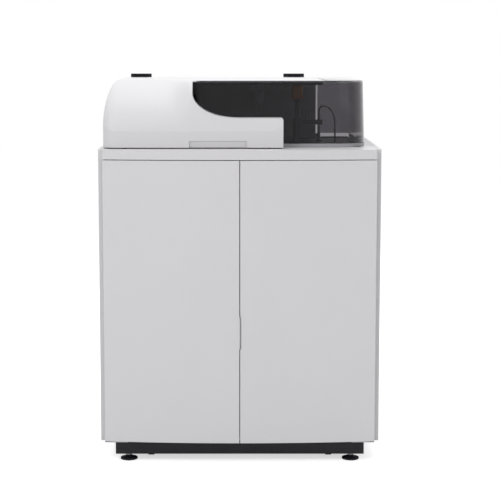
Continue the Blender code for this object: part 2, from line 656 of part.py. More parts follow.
# Cabinet: floor tray, folded side panels, rear panel, centre partition
def cabinet():
    solid("cabinet_floor", box((-HALF_WIDTH, HALF_WIDTH), (PANEL_FRONT, BACK), (FLOOR_LOW, FLOOR_TOP)), WHITE)
    for name, side in (("side_panel_left", -1), ("side_panel_right", 1)):
        outer_x = sorted((side * HALF_WIDTH, side * INNER_X))
        panel = solid(name, box(outer_x, (PANEL_FRONT, BACK), (PANEL_LOW, CABINET_TOP)), WHITE)
        pocket_x = sorted((side * (HALF_WIDTH - SHEET), side * (INNER_X - CUT_PAST)))
        pocket_y = (PANEL_FRONT + SHEET, BACK - SHEET)
        cut(panel, box(pocket_x, pocket_y, (PANEL_LOW + SHEET, CABINET_TOP - SHEET)))
    rear_x = (-INNER_X + SEAT_GAP, INNER_X - SEAT_GAP)
    rear = solid("rear_panel", box(rear_x, (REAR_FACE, BACK), (PANEL_LOW, WORKTOP_LOW - SEAT_GAP)), WHITE)
    for centre_x in (-VENT_X, VENT_X):
        for i in range(VENT_SLOTS):
            low = VENT_LOW + i * VENT_PITCH
            slot_x = (centre_x - VENT_LENGTH / 2, centre_x + VENT_LENGTH / 2)
            cut(rear, box(slot_x, (REAR_FACE - CUT_PAST, BACK + CUT_PAST), (low, low + VENT_SLOT)))
    through_rear = (REAR_FACE - CUT_PAST, BACK + CUT_PAST)
    inlet = []
    for centre, size in zip(INLET_CENTRE, INLET_SIZE):
        inlet.append((centre - size / 2 - SEAT_GAP, centre + size / 2 + SEAT_GAP))
    cut(rear, box(inlet[0], through_rear, inlet[1]))
    cut(rear, rod(FAN_RADIUS, (FAN_CENTRE[0], 0, FAN_CENTRE[1]), *through_rear, 20, "Y"))
    partition_y = (PARTITION_FRONT, REAR_FACE - SEAT_GAP)
    partition_z = (FLOOR_TOP + SEAT_GAP, WORKTOP_LOW - SEAT_GAP)
    partition = box((-PARTITION / 2, PARTITION / 2), partition_y, partition_z)
    solid("centre_partition", partition, WHITE)


# Doors: bowed steel pans with a solid stile round the pivot pins
def doors():
    for name, side in (("left_door", -1), ("right_door", 1)):
        axis = axis_at(f"{name}_axis", (side * PIVOT_X, PIVOT_Y, DOOR_LOW))
        x_low, x_high = sorted((side * DOOR_HALF, side * DOOR_GAP / 2))
        outline = bowed_outline(x_low, x_high, DOOR_BACK, 10)
        door = solid(name, prism(outline, DOOR_LOW, DOOR_TOP, "Z"), WHITE, axis)
        pocket_x = sorted((side * (DOOR_HALF - HINGE_STILE), side * (DOOR_GAP / 2 + EDGE_STILE)))
        pocket = bowed_outline(*pocket_x, DOOR_BACK + CUT_PAST, 10, DOOR_SKIN)
        cut(door, prism(pocket, DOOR_LOW + DOOR_SKIN, DOOR_TOP - DOOR_SKIN, "Z"))
        pin_hole = PIVOT_RADIUS + PIN_CLEARANCE
        reach = PIVOT_DEPTH + 0.001
        for pin_z in ((DOOR_LOW - CUT_PAST, DOOR_LOW + reach), (DOOR_TOP - reach, DOOR_TOP + CUT_PAST)):
            cut(door, rod(pin_hole, (side * PIVOT_X, PIVOT_Y, 0), *pin_z, 16))
    notch_x = (0, DOOR_GAP / 2 + PULL_REACH)
    notch_z = (PULL_LOW - SEAT_GAP, PULL_HIGH + SEAT_GAP)
    cut(door, box(notch_x, (FRONT - CUT_PAST, FRONT + PULL_DEPTH + CUT_PAST), notch_z))
    door_pull()
    door_pivots()


def door_pull():
    """The left door's finger strip: it stands into the right door's notch, with a hooked lip to pull on."""
    left = -DOOR_GAP / 2 + SEAT_GAP
    right = left + PULL_REACH - SEAT_GAP
    strip = box((left, right), (FRONT + PULL_SETBACK, FRONT + PULL_DEPTH), (PULL_LOW, PULL_HIGH))
    solid("left_door_pull", strip, WHITE, bpy.data.objects["left_door_axis"])


def door_pivots():
    """A pin on a small plate at each end of each door."""
    for name, side in (("left", -1), ("right", 1)):
        x, y = side * PIVOT_X, PIVOT_Y
        plate_x = sorted((side * (PIVOT_X + PIVOT_INSET), side * (FRAME_HALF_WIDTH - TUBE)))
        plate_y = (PIVOT_Y - PIVOT_INSET, PANEL_FRONT - SEAT_GAP)
        plate_z = (FLOOR_LOW, FLOOR_LOW + PIVOT_PLATE)
        low = solid(f"door_pivot_{name}_low", box(plate_x, plate_y, plate_z), ZINC)
        add(low, rod(PIVOT_RADIUS, (x, y, 0), plate_z[1] - 0.001, DOOR_LOW + PIVOT_DEPTH, 12))
        pin = rod(PIVOT_RADIUS, (x, y, 0), DOOR_TOP - PIVOT_DEPTH, WORKTOP_LOW + PIVOT_SOCKET - SEAT_GAP, 12)
        solid(f"door_pivot_{name}_high", pin, ZINC)


# Worktop: a bowed moulding, open below, with a cut-out for the instrument deck
def worktop():
    outline = bowed_outline(-WORKTOP_HALF, WORKTOP_HALF, BACK, 16)
    top = solid("worktop", prism(outline, WORKTOP_LOW, CABINET_TOP, "Z"), WHITE)
    pocket_x = (-WORKTOP_HALF + WORKTOP_WALL, WORKTOP_HALF - WORKTOP_WALL)
    pocket_y = (PANEL_FRONT + WORKTOP_WALL, BACK - WORKTOP_WALL)
    cut(top, box(pocket_x, pocket_y, (WORKTOP_LOW - CUT_PAST, CABINET_TOP - WORKTOP_SKIN)))
    cut(top, box(DECK_X, DECK_Y, (WORKTOP_LOW, CABINET_TOP + CUT_PAST)))
    for side in (-1, 1):
        socket_z = (WORKTOP_LOW - CUT_PAST, WORKTOP_LOW + PIVOT_SOCKET)
        cut(top, rod(PIVOT_RADIUS + PIN_CLEARANCE, (side * PIVOT_X, PIVOT_Y, 0), *socket_z, 12))
    deck_x = (DECK_X[0] - DECK_LIP, DECK_X[1] + DECK_LIP)
    deck_y = (DECK_Y[0] - DECK_LIP, DECK_Y[1] + DECK_LIP)
    deck = solid("instrument_deck", box(deck_x, deck_y, (DECK_TOP - DECK_THICK, DECK_TOP)), DECK_GREY)
    for centre in (REACTION_CENTRE, REAGENT_CENTRE):
        through_deck = (DECK_TOP - 2 * CUT_PAST, DECK_TOP + CUT_PAST)
        cut(deck, rod(SPINDLE_RADIUS + SPINDLE_GAP, (*centre, 0), *through_deck, 20))


# Rim round the deck, under the smoked cover
def deck_rim():
    x, y = (WINDOW_LEFT, COVER_RIGHT), (COVER_FRONT, UPRIGHT_REAR)
    corners = (COVER_LEFT_CORNER, COVER_CORNER, COVER_REAR_CORNER, TINY_CORNER)
    low, high = CABINET_TOP + SEAT_GAP, COVER_BOTTOM - LID_GAP
    rim = solid("deck_rim", prism(rounded(x, y, corners), low, high, "Z"), WHITE)
    inner_x = (x[0] + RIM_WIDTH, x[1] - RIM_WIDTH)
    inner_y = (y[0] + RIM_WIDTH, y[1] - RIM_WIDTH)
    inner = [max(corner - RIM_WIDTH, TINY_CORNER) for corner in corners]
    through_rim = (low - CUT_PAST, high + CUT_PAST)
    cut(rim, prism(rounded(inner_x, inner_y, inner), *through_rim, "Z"))
    cut(rim, box((x[0] - CUT_PAST, UPRIGHT_RIGHT + SEAT_GAP), (RETURN_REAR, BACK), through_rim))


def hood_section(z):
    """The hood's left side, front and corner radius at a height: upright, then leaning into a crown."""
    share = min(max((z - CREASE) / (LID_TOP - CREASE), 0.0), 1.0)
    crown = 1 - (1 - share**2) ** CROWN_POWER
    lean = math.tan(HOOD_LEAN) * (LID_TOP - CREASE) * share * (1 - share) ** 2
    left = HOOD_LEFT + CROWN_SIDE * crown
    front = HOOD_FRONT + CROWN_DEPTH * crown + lean
    return left, front, HOOD_CORNER + CORNER_GROWTH * share


# Fixed upright behind the lid: it closes the back of the hood and carries the hinges
def lid_upright():
    low, high = CABINET_TOP + SEAT_GAP, LID_TOP - LID_WALL - LID_GAP
    outline = [(UPRIGHT_RIGHT, low), (UPRIGHT_RIGHT, high)]
    for share in UPRIGHT_SHARES:
        z = CREASE + (high - CREASE) * share
        outline.append((hood_section(z)[0] + UPRIGHT_INSIDE, z))
    outline.append((HOOD_LEFT + UPRIGHT_INSIDE, low))
    solid("lid_upright", prism(outline, UPRIGHT_REAR - UPRIGHT_THICK, UPRIGHT_REAR, "Y"), HOOD_WHITE)


# Hood: an upright skirt, a crease, and a crown that runs into the flat roof
def hood_body(inset):
    """The hood's outer form, or the hollow inside it when inset is its wall."""
    past = CUT_PAST if inset else 0.0
    levels = [(HOOD_BOTTOM - past, HOOD_BOTTOM)]
    for share in HOOD_SHARES:
        levels.append((CREASE + (LID_TOP - inset - CREASE) * share, CREASE + (LID_TOP - CREASE) * share))
    rings = []
    for height, section_height in levels:
        left, front, corner = hood_section(section_height)
        x = (left + inset, ROOF_RIGHT + past)
        y = (front + inset, HOOD_REAR + past)
        outline = rounded(x, y, (corner - inset, TINY_CORNER, TINY_CORNER, TINY_CORNER), 5)
        rings.append([(a, b, height) for a, b in outline])
    return loft(rings)


def window_path():
    """The window's edge in the front view, from the roof down the sweep, along the sill and down its end."""
    start = (WINDOW_LEFT, SWEEP_TOP)
    turn = (WINDOW_LEFT, SWEEP_TOP - SWEEP_DROP)
    level = (WINDOW_LEFT + SWEEP_TURN, SILL_TOP)
    sweep = bezier(start, turn, level, (SWEEP_RIGHT, SILL_TOP), 10)
    corner = arc((SILL_RIGHT - SILL_CORNER, SILL_TOP - SILL_CORNER), SILL_CORNER, 90, 0, 3)
    above = (WINDOW_LEFT, LID_TOP + 2 * CUT_PAST)
    below = (SILL_RIGHT, HOOD_BOTTOM - 3 * CUT_PAST)
    return [above] + sweep + corner + [below]


def right_of(path, reach):
    """The area between a path that runs down and an upright line to its right."""
    return path + [(reach, path[-1][1]), (reach, path[0][1])]


def hood(lid):
    shell = solid("hood", hood_body(0.0), HOOD_WHITE, lid)
    hollow = helper("hood_hollow", hood_body(LID_WALL))
    path = window_path()
    far_right = ROOF_RIGHT + 5 * CUT_PAST
    in_front = HOOD_FRONT - CUT_PAST
    wall_zone = right_of(moved_right(path, LID_WALL), far_right)
    cut(hollow, prism(wall_zone, in_front, COVER_FRONT - LID_GAP, "Y"))
    side_wall = (WINDOW_LEFT - LID_WALL, WINDOW_LEFT)
    all_heights = (HOOD_BOTTOM - 2 * CUT_PAST, LID_TOP + CUT_PAST)
    cut(hollow, box(side_wall, (COVER_FRONT - CUT_PAST, RETURN_REAR), all_heights))
    cut(shell, hollow)
    cut(shell, prism(right_of(path, far_right + CUT_PAST), in_front - CUT_PAST, ROOF_BACK_EDGE, "Y"))
    roof_z = (LID_TOP - LID_WALL, LID_TOP)
    add(shell, box((WINDOW_LEFT - LID_WALL, ROOF_RIGHT), (ROOF_FRONT, ROOF_BACK_EDGE + LID_WALL), roof_z))
    add(shell, box(side_wall, (ROOF_FRONT, ROOF_BACK_EDGE), (SWEEP_TOP, LID_TOP - LID_WALL / 2)))
    rear_left = hood_section(LID_TOP)[0] + UPRIGHT_INSIDE
    add(shell, box((rear_left, ROOF_RIGHT), (HOOD_REAR - LID_WALL, UPRIGHT_REAR), roof_z))
    hood_grip(shell)


def hood_grip(shell):
    """A recess for the fingers, open below, with its own back, top and ends."""
    liner_x = (GRIP_X[0] - LID_WALL, GRIP_X[1] + LID_WALL)
    liner_y = (HOOD_FRONT + LID_WALL / 2, HOOD_FRONT + GRIP_DEPTH + LID_WALL)
    liner_z = (HOOD_BOTTOM, HOOD_BOTTOM + GRIP_HEIGHT + LID_WALL)
    add(shell, box(liner_x, liner_y, liner_z))
    recess_y = (HOOD_FRONT - CUT_PAST, HOOD_FRONT + GRIP_DEPTH)
    recess_z = (HOOD_BOTTOM - CUT_PAST, HOOD_BOTTOM + GRIP_HEIGHT)
    cut(shell, box(GRIP_X, recess_y, recess_z))


# Smoked cover: front wall with round ends, right wall, part of the top and of the back
def cover_body(inset):
    """The cover's outer form with its rounded top edge, or the hollow inside it when inset is its wall."""
    levels = [(COVER_BOTTOM, 0.0), (LID_TOP - COVER_EDGE, 0.0)]
    levels += [(LID_TOP - 0.3 * COVER_EDGE, 0.3 * COVER_EDGE), (LID_TOP, COVER_EDGE)]
    if inset:
        levels = [(COVER_BOTTOM - CUT_PAST, 0.0), (LID_TOP - LID_WALL, 0.0)]
    rings = []
    for z, rounding in levels:
        draft = COVER_DRAFT * (z - COVER_BOTTOM) / (LID_TOP - COVER_BOTTOM)
        x = (WINDOW_LEFT + LID_GAP + inset, COVER_RIGHT - draft - rounding - inset)
        y = (COVER_FRONT + rounding + inset, UPRIGHT_REAR - rounding - inset)
        corners = (COVER_LEFT_CORNER, COVER_CORNER, COVER_REAR_CORNER, COVER_EDGE)
        rings.append([(a, b, z) for a, b in rounded(x, y, [corner - inset for corner in corners], 8)])
    return loft(rings)


def smoked_cover(lid):
    cover = solid("smoked_cover", cover_body(0.0), SMOKE, lid)
    cut(cover, cover_body(LID_WALL))
    left = WINDOW_LEFT - CUT_PAST
    all_heights = (COVER_BOTTOM - 2 * CUT_PAST, LID_TOP + CUT_PAST)
    cut(cover, box((left, WINDOW_LEFT + COVER_LEFT_CORNER), (RETURN_REAR, BACK), all_heights))
    under_roof = LID_TOP - LID_WALL - SEAT_GAP
    roof_y = (ROOF_FRONT - SEAT_GAP, BACK)
    cut(cover, box((left, ROOF_RIGHT + SEAT_GAP), roof_y, (under_roof, LID_TOP + CUT_PAST)))
    cut(cover, box((left, COVER_REAR_LEFT), (UPRIGHT_REAR - COVER_REAR_CORNER, BACK), all_heights))
    seal_y = (COVER_FRONT + LID_WALL + SEAT_GAP, COVER_FRONT + LID_WALL + SEAL_DEPTH)
    seal = box(SEAL_X, seal_y, (under_roof - SEAL_HEIGHT, under_roof))
    solid("roof_seal", seal, RUBBER, lid)


# Lid hinges: a fixed leaf with two lugs and the pin, and a moving leaf with the knuckle between the lugs
def lid_hinges(lid):
    for name, x in zip(("left", "right"), HINGE_X):
        half = HINGE_LENGTH / 2
        knuckle = half - HINGE_LUG - SEAT_GAP
        axis = (x, HINGE_AXIS_Y, HINGE_AXIS_Z)
        leaf_y = (UPRIGHT_REAR + SEAT_GAP, UPRIGHT_REAR + SEAT_GAP + HINGE_LEAF)
        leaf_z = (HINGE_AXIS_Z - HINGE_LEAF_DROP, HINGE_AXIS_Z - HINGE_RADIUS - 0.004)
        bracket = solid(f"lid_hinge_bracket_{name}", box((x - half, x + half), leaf_y, leaf_z), FRAME_BLACK)
        for side in (-1, 1):
            lug_x = sorted((x + side * half, x + side * (half - HINGE_LUG)))
            add(bracket, box(lug_x, (leaf_y[0], HINGE_AXIS_Y + 0.003), (leaf_z[1] - 0.002, HINGE_AXIS_Z)))
            low, high = sorted((side * half, side * (half - HINGE_LUG)))
            add(bracket, rod(HINGE_RADIUS, axis, low, high, 16, "X"))
        add(bracket, rod(HINGE_PIN_RADIUS, axis, -half + 0.002, half - 0.002, 12, "X"))
        bore = HINGE_PIN_RADIUS + PIN_CLEARANCE
        profile = [(bore, -knuckle), (HINGE_RADIUS, -knuckle), (HINGE_RADIUS, knuckle), (bore, knuckle)]
        barrel = turned(profile, axis, 16, "X", closed=True)
        leaf = solid(f"lid_hinge_knuckle_{name}", barrel, FRAME_BLACK, lid)
        flap_y = (HINGE_AXIS_Y - HINGE_FLAP, HINGE_AXIS_Y)
        flap_z = (LID_TOP + SEAT_GAP, HINGE_AXIS_Z - HINGE_RADIUS + HINGE_FLAP_GRIP)
        add(leaf, box((x - knuckle, x + knuckle), flap_y, flap_z))


def hood_bumpers(lid):
    """Flat rubber buttons under the hood's front edge, longer than they are deep."""
    y = HOOD_FRONT + LID_WALL / 2
    for name, x in zip(("left", "right"), BUMPER_X):
        bumper = rod(BUMPER_HALF_DEPTH, (x, y, 0), CABINET_TOP + SEAT_GAP, HOOD_BOTTOM - SEAT_GAP, 10)
        middle = Matrix.Translation((-x, -y, 0))
        bmesh.ops.scale(bumper, vec=(BUMPER_STRETCH, 1.0, 1.0), space=middle, verts=bumper.verts)
        solid(f"hood_bumper_{name}", bumper, RUBBER, lid)


def lid_parts():
    lid = axis_at("lid_axis", (0, HINGE_AXIS_Y, HINGE_AXIS_Z))
    lid_upright()
    hood(lid)
    smoked_cover(lid)
    lid_hinges(lid)
    hood_bumpers(lid)


# Reaction disk and reagent disk: low turned wheels on a spindle in the deck
def ring_of_vessels(disk, centre, radius, count, vessel_radius, height, steps):
    """Vessels set in the disk, standing a little proud of it."""
    top = DECK_TOP + SEAT_GAP + DISK_THICK
    for i in range(count):
        angle = 2 * math.pi * i / count
        place = (centre[0] + radius * math.cos(angle), centre[1] + radius * math.sin(angle), 0)
        add(disk, rod(vessel_radius, place, top - DISK_THICK / 4, top + height, steps))


def disk_at(name, centre, radius, hub_radius, hub_height, material):
    low = DECK_TOP + SEAT_GAP
    high = low + DISK_THICK
    spindle_low = DECK_TOP - DECK_THICK - SPINDLE_BELOW
    profile = [
        (0, spindle_low),
        (SPINDLE_RADIUS, spindle_low),
        (SPINDLE_RADIUS, low),
        (radius, low),
        (radius, high),
        (hub_radius, high),
        (hub_radius, high + hub_height),
        (0, high + hub_height),
    ]
    axis = axis_at(f"{name}_axis", (*centre, DECK_TOP))
    return solid(name, turned(profile, (*centre, 0), 36), material, axis)


def disks():
    reaction = disk_at("reaction_disk", REACTION_CENTRE, REACTION_RADIUS, *REACTION_HUB, DECK_GREY)
    ring_of_vessels(reaction, REACTION_CENTRE, CUVETTE_RING, CUVETTES, *CUVETTE_SIZE, 4)
    reagent = disk_at("reagent_disk", REAGENT_CENTRE, REAGENT_RADIUS, *REAGENT_HUB, ARM_GREY)
    ring_of_vessels(reagent, REAGENT_CENTRE, BOTTLE_RING, BOTTLES, *BOTTLE_SIZE, 10)


def turning_collar(name, centre, bore, radius, arm_low, material, turn):
    """A tube that turns on the deck; the arm's column slides in it by ARM_STROKE."""
    low = DECK_TOP + SEAT_GAP
    high = arm_low - ARM_STROKE - ARM_END_GAP
    profile = [(bore, low), (radius, low), (radius, high), (bore, high)]
    solid(name, turned(profile, (*centre, 0), 24, closed=True), material, turn)


# Probe: a collar that turns, a column that slides in it with its arm, and a steel needle
def probe():
    x, y = PROBE_CENTRE
    half = PROBE_WIDTH / 2
    arm_low = PROBE_TOP - PROBE_ARM_HEIGHT
    column_low = DECK_TOP + ARM_STROKE + ARM_END_GAP
    turn = axis_at("probe_turn_axis", (x, y, DECK_TOP))
    lift = axis_at("probe_lift_axis", (x, y, column_low), turn)
    turning_collar("probe_collar", PROBE_CENTRE, PROBE_COLUMN + PIN_CLEARANCE, half, arm_low, ARM_GREY, turn)
    corners = (half - 0.001, half - 0.001, PROBE_TIP, PROBE_TIP)
    outline = rounded((x - half, x + half), (y - half, y + PROBE_REACH + PROBE_TIP), corners, 5)
    arm = solid("probe_arm", prism(outline, arm_low, PROBE_TOP, "Z"), ARM_GREY, lift)
    add(arm, rod(PROBE_COLUMN, (x, y, 0), column_low, arm_low + PROBE_ARM_HEIGHT / 2, 16))
    needle_top = arm_low - SEAT_GAP
    needle = rod(NEEDLE_RADIUS, (x, y + PROBE_REACH, 0), needle_top - NEEDLE_LENGTH, needle_top, 8)
    solid("probe_needle", needle, STEEL, lift)


# Mixer: a second, smaller arm with an amber housing and a paddle
def mixer():
    x, y = MIXER_CENTRE
    half = MIXER_WIDTH / 2
    cap_low = MIXER_TOP - MIXER_CAP
    plate_top = cap_low - SEAT_GAP
    plate_low = plate_top - MIXER_PLATE
    column_low = DECK_TOP + ARM_STROKE + ARM_END_GAP
    turn = axis_at("mixer_turn_axis", (x, y, DECK_TOP))
    lift = axis_at("mixer_lift_axis", (x, y, column_low), turn)
    turning_collar(
        "mixer_collar", MIXER_CENTRE, MIXER_COLUMN + PIN_CLEARANCE, MIXER_COLLAR, plate_low, DECK_GREY, turn
    )
    plate_x = (x - MIXER_PLATE_HALF, x + MIXER_PLATE_HALF)
    plate_y = (y - MIXER_PLATE_HALF, y + MIXER_REACH + MIXER_PLATE_END)
    arm = solid("mixer_arm", box(plate_x, plate_y, (plate_low, plate_top)), DECK_GREY, lift)
    middle = (plate_low + plate_top) / 2
    add(arm, rod(MIXER_COLUMN, (x, y, 0), column_low, middle, 12))
    add(arm, rod(PADDLE_RADIUS, (x, y + MIXER_REACH, 0), plate_top - NEEDLE_LENGTH, middle, 8))
    outline = rounded((x - half, x + half), (y - half, y + MIXER_REACH), (MIXER_CAP_CORNER,) * 4, 4)
    cap = solid("mixer_cap", prism(outline, cap_low, MIXER_TOP, "Z"), AMBER, lift)
    soften(cap, MIXER_CAP_EDGE, 2, 60)


# Wash station: a hollow post, a head that slides on it with its thin nozzles, and the post's feed tube
def wash_station():
    x, y = WASH_POST
    lift = axis_at("wash_axis", (x, y, WASH_HEAD_LOW))
    low = DECK_TOP + SEAT_GAP
    post = [
        (0, low),
        (WASH_BASE_RADIUS, low),
        (WASH_BASE_RADIUS, low + WASH_BASE),
        (WASH_POST_RADIUS, low + WASH_BASE),
        (WASH_POST_RADIUS, WASH_POST_TOP),
        (0, WASH_POST_TOP),
    ]
    solid("wash_post", turned(post, (x, y, 0), 16), STEEL)
    head_x = (WASH_HEAD_LEFT, x + WASH_HEAD_HALF)
    head_y = (y - WASH_HEAD_HALF, y + WASH_HEAD_HALF)
    head = solid("wash_head", box(head_x, head_y, (WASH_HEAD_LOW, WASH_HEAD_HIGH)), ARM_GREY, lift)
    bore = WASH_POST_RADIUS + PIN_CLEARANCE
    cut(head, rod(bore, (x, y, 0), WASH_HEAD_LOW - CUT_PAST, WASH_HEAD_HIGH + CUT_PAST, 16))
    for i in range(WASH_NOZZLES):
        nozzle_x = WASH_HEAD_LEFT + WASH_PITCH * (i + 0.5)
        nozzle_z = (WASH_HEAD_LOW - WASH_NOZZLE_BELOW, WASH_HEAD_HIGH + WASH_NOZZLE_ABOVE)
        add(head, rod(WASH_NOZZLE_RADIUS, (nozzle_x, y, 0), *nozzle_z, 8))
    wash_tube()


def wash_tube():
    """A bent tube from the deck, over the top and down into the post."""
    start_x, y = WASH_POST
    foot_x = WASH_TUBE_X
    start_z = WASH_POST_TOP + SEAT_GAP
    bend_z = start_z + WASH_TUBE_RADIUS
    pull_z = bend_z + (WASH_TUBE_TOP - bend_z) * 4 / 3
    route = [(start_x, start_z)]
    route += bezier((start_x, bend_z), (start_x, pull_z), (foot_x, pull_z), (foot_x, WASH_HEAD_LOW), 14)
    route.append((foot_x, DECK_TOP + SEAT_GAP))
    curve = bpy.data.curves.new("wash_tube", "CURVE")
    curve.dimensions = "3D"
    curve.bevel_depth = WASH_TUBE_RADIUS
    curve.bevel_resolution = 2
    curve.use_fill_caps = True
    spline = curve.splines.new("POLY")
    spline.points.add(len(route) - 1)
    for point, (px, pz) in zip(spline.points, route):
        point.co = (px, y, pz, 1.0)
    curve.materials.append(TUBE_CLEAR)
    tube = bpy.data.objects.new("wash_tube", curve)
    bpy.context.collection.objects.link(tube)


# Bottles and machines in the cabinet: name, middle x and y, size, neck radius, body and cap finish
TANKS = (
    ("water_tank", (WATER_X, TANK_Y), WATER_SIZE, 0.030, NATURAL, CAP_BLUE),
    ("waste_tank", (WASTE_X, TANK_Y), WASTE_SIZE, 0.030, NATURAL, CAP_RED),
    ("detergent_bottle", (DETERGENT_X, DETERGENT_Y), DETERGENT_SIZE, 0.020, NATURAL, CAP_BLUE),
)


def tank_outline(x, y, width, length, inside=0.0):
    """A tank's plan, or the same moved in by a distance."""
    half_width, half_length = width / 2 - inside, length / 2 - inside
    corner = TANK_CORNER - inside / 2
    return rounded((x - half_width, x + half_width), (y - half_length, y + half_length), (corner,) * 4, 4)


def tanks():
    low = FLOOR_TOP + SEAT_GAP
    for name, (x, y), (width, length, height), neck, material, cap_material in TANKS:
        wall = tank_outline(x, y, width, length)
        shoulder = tank_outline(x, y, width, length, TANK_SHOULDER_IN)
        top = low + height
        levels = ((wall, low), (wall, top - TANK_SHOULDER_DROP), (shoulder, top))
        tank = solid(name, loft([[(a, b, z) for a, b in outline] for outline, z in levels]), material)
        inner_neck = neck - CAP_WALL
        mouth = top + NECK_HEIGHT
        add(tank, rod(inner_neck, (x, y, 0), top - CAP_WALL, mouth, 20))
        cap_low, cap_high = top + SEAT_GAP, mouth + CAP_WALL
        bore, seat = inner_neck + SEAT_GAP, mouth + SEAT_GAP
        cap = [(0, seat), (bore, seat), (bore, cap_low), (neck, cap_low), (neck, cap_high), (0, cap_high)]
        solid(f"{name}_cap", turned(cap, (x, y, 0), 20), cap_material)


# Power supply against the partition, and a fluid pump: a motor on a plate with its head on top
def cabinet_machines():
    low = FLOOR_TOP + SEAT_GAP
    width, length, height = SUPPLY_SIZE
    right = -PARTITION / 2 - SEAT_GAP
    case = box((right - width, right), (SUPPLY_FRONT, SUPPLY_FRONT + length), (low, low + height))
    soften(solid("power_supply", case, ZINC), SUPPLY_EDGE, 1)
    x, y = PUMP_CENTRE
    half_width, half_length = PUMP_PLATE
    plate_z = (low, low + PUMP_PLATE_THICK)
    plate = box((x - half_width, x + half_width), (y - half_length, y + half_length), plate_z)
    pump = solid("fluid_pump", plate, FRAME_BLACK)
    motor_top = low + PUMP_MOTOR_TOP
    add(pump, rod(PUMP_MOTOR_RADIUS, (x, y, 0), low + PUMP_PLATE_THICK / 2, motor_top, 20))
    head = PUMP_HEAD_HALF
    add(pump, box((x - head, x + head), (y - head, y + head), (motor_top - SHEET, low + PUMP_TOP)))


# Back: power inlet with its rocker switch, and the fan's grille
def rear_fittings():
    x, z = INLET_CENTRE
    half_width, half_height = INLET_SIZE[0] / 2, INLET_SIZE[1] / 2
    body_y = (REAR_FACE - INLET_DEPTH, BACK - INLET_SETBACK)
    body = box((x - half_width, x + half_width), body_y, (z - half_height, z + half_height))
    inlet = solid("power_inlet", body, FRAME_BLACK)
    socket_z = (z - half_height + SOCKET_BORDER, z - SOCKET_BORDER / 6)
    socket_x = (x - SOCKET_HALF_WIDTH, x + SOCKET_HALF_WIDTH)
    cut(inlet, box(socket_x, (BACK - SOCKET_DEPTH, BACK + CUT_PAST), socket_z))
    pin_y = (BACK - SOCKET_DEPTH - PIN_HALF[0], BACK - PIN_SETBACK)
    for pin_x, pin_z in PIN_PLACES:
        middle = (x + pin_x, sum(socket_z) / 2 + pin_z)
        pin = [(c - half, c + half) for c, half in zip(middle, PIN_HALF)]
        add(inlet, box(pin[0], pin_y, pin[1]))
    rocker_switch(inlet, x, z + half_height / 2)
    fan_grille()


def rocker_switch(inlet, x, z):
    """The rocker in its well, resting on the ridge that it rocks on."""
    half_width, half_height = ROCKER_HALF
    well_x = (x - half_width - ROCKER_GAP, x + half_width + ROCKER_GAP)
    well_z = (z - half_height - ROCKER_GAP, z + half_height + ROCKER_GAP)
    cut(inlet, box(well_x, (BACK - ROCKER_WELL, BACK + CUT_PAST), well_z))
    axis = axis_at("switch_axis", (x, BACK - ROCKER_AXIS_DEPTH, z))
    back = BACK - ROCKER_AXIS_DEPTH - ROCKER_THICK / 2
    outline = [
        (back, z - half_height),
        (back + ROCKER_THICK, z - half_height),
        (back + ROCKER_THICK - ROCKER_DIP, z),
        (back + ROCKER_THICK, z + half_height),
        (back, z + half_height),
    ]
    rocker = prism(outline, x - half_width, x + half_width, "X")
    tilt = Matrix.Rotation(math.radians(ROCKER_TILT), 3, "X")
    bmesh.ops.rotate(rocker, cent=axis.location, matrix=tilt, verts=rocker.verts)
    solid("rocker_switch", rocker, RUBBER, axis)
    ridge_half = half_width + 3 * ROCKER_GAP
    ridge_y = back - SEAT_GAP - ROCKER_RIDGE
    add(inlet, rod(ROCKER_RIDGE, (x, ridge_y, z), -ridge_half, ridge_half, 12, "X"))


def fan_grille():
    """A plate behind the rear panel's round opening, with a slot for each bar's gap."""
    x, z = FAN_CENTRE
    y = (REAR_FACE - GRILLE_THICK, REAR_FACE - SEAT_GAP)
    reach = FAN_RADIUS + GRILLE_BORDER
    grille = solid("fan_grille", box((x - reach, x + reach), y, (z - reach, z + reach)), FRAME_BLACK)
    pitch = 2 * FAN_RADIUS / FAN_SLOTS
    half_slot = pitch * GRILLE_OPEN / 2
    for i in range(FAN_SLOTS):
        rise = (i + 0.5) * pitch - FAN_RADIUS
        half_width = math.sqrt(FAN_RADIUS**2 - rise**2) - GRILLE_BORDER / 2
        slot_z = (z + rise - half_slot, z + rise + half_slot)
        cut(grille, box((x - half_width, x + half_width), (y[0] - CUT_PAST, y[1] + CUT_PAST), slot_z))


base_frame()
levelling_feet()
casters()
cabinet()
doors()
worktop()
deck_rim()
lid_parts()
disks()
probe()
mixer()
wash_station()
tanks()
cabinet_machines()
rear_fittings()
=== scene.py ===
# %% [markdown]
# # A floor-standing chemistry analyzer
# The CAD part gives the true sizes: a white cabinet on a black tube base, a worktop, and a hinged lid whose
# left half is a white moulded hood and whose right half is a smoked cover. Here each surface gets the form
# and finish that the eye sees. We could model over it freely, but a piece that keeps to the CAD node's place
# still fits its neighbours and moves with its body, so every piece below starts from that node's box.

# %% Load the CAD frame
import json
import math

import bmesh
import bpy
from mathutils import Matrix, Vector


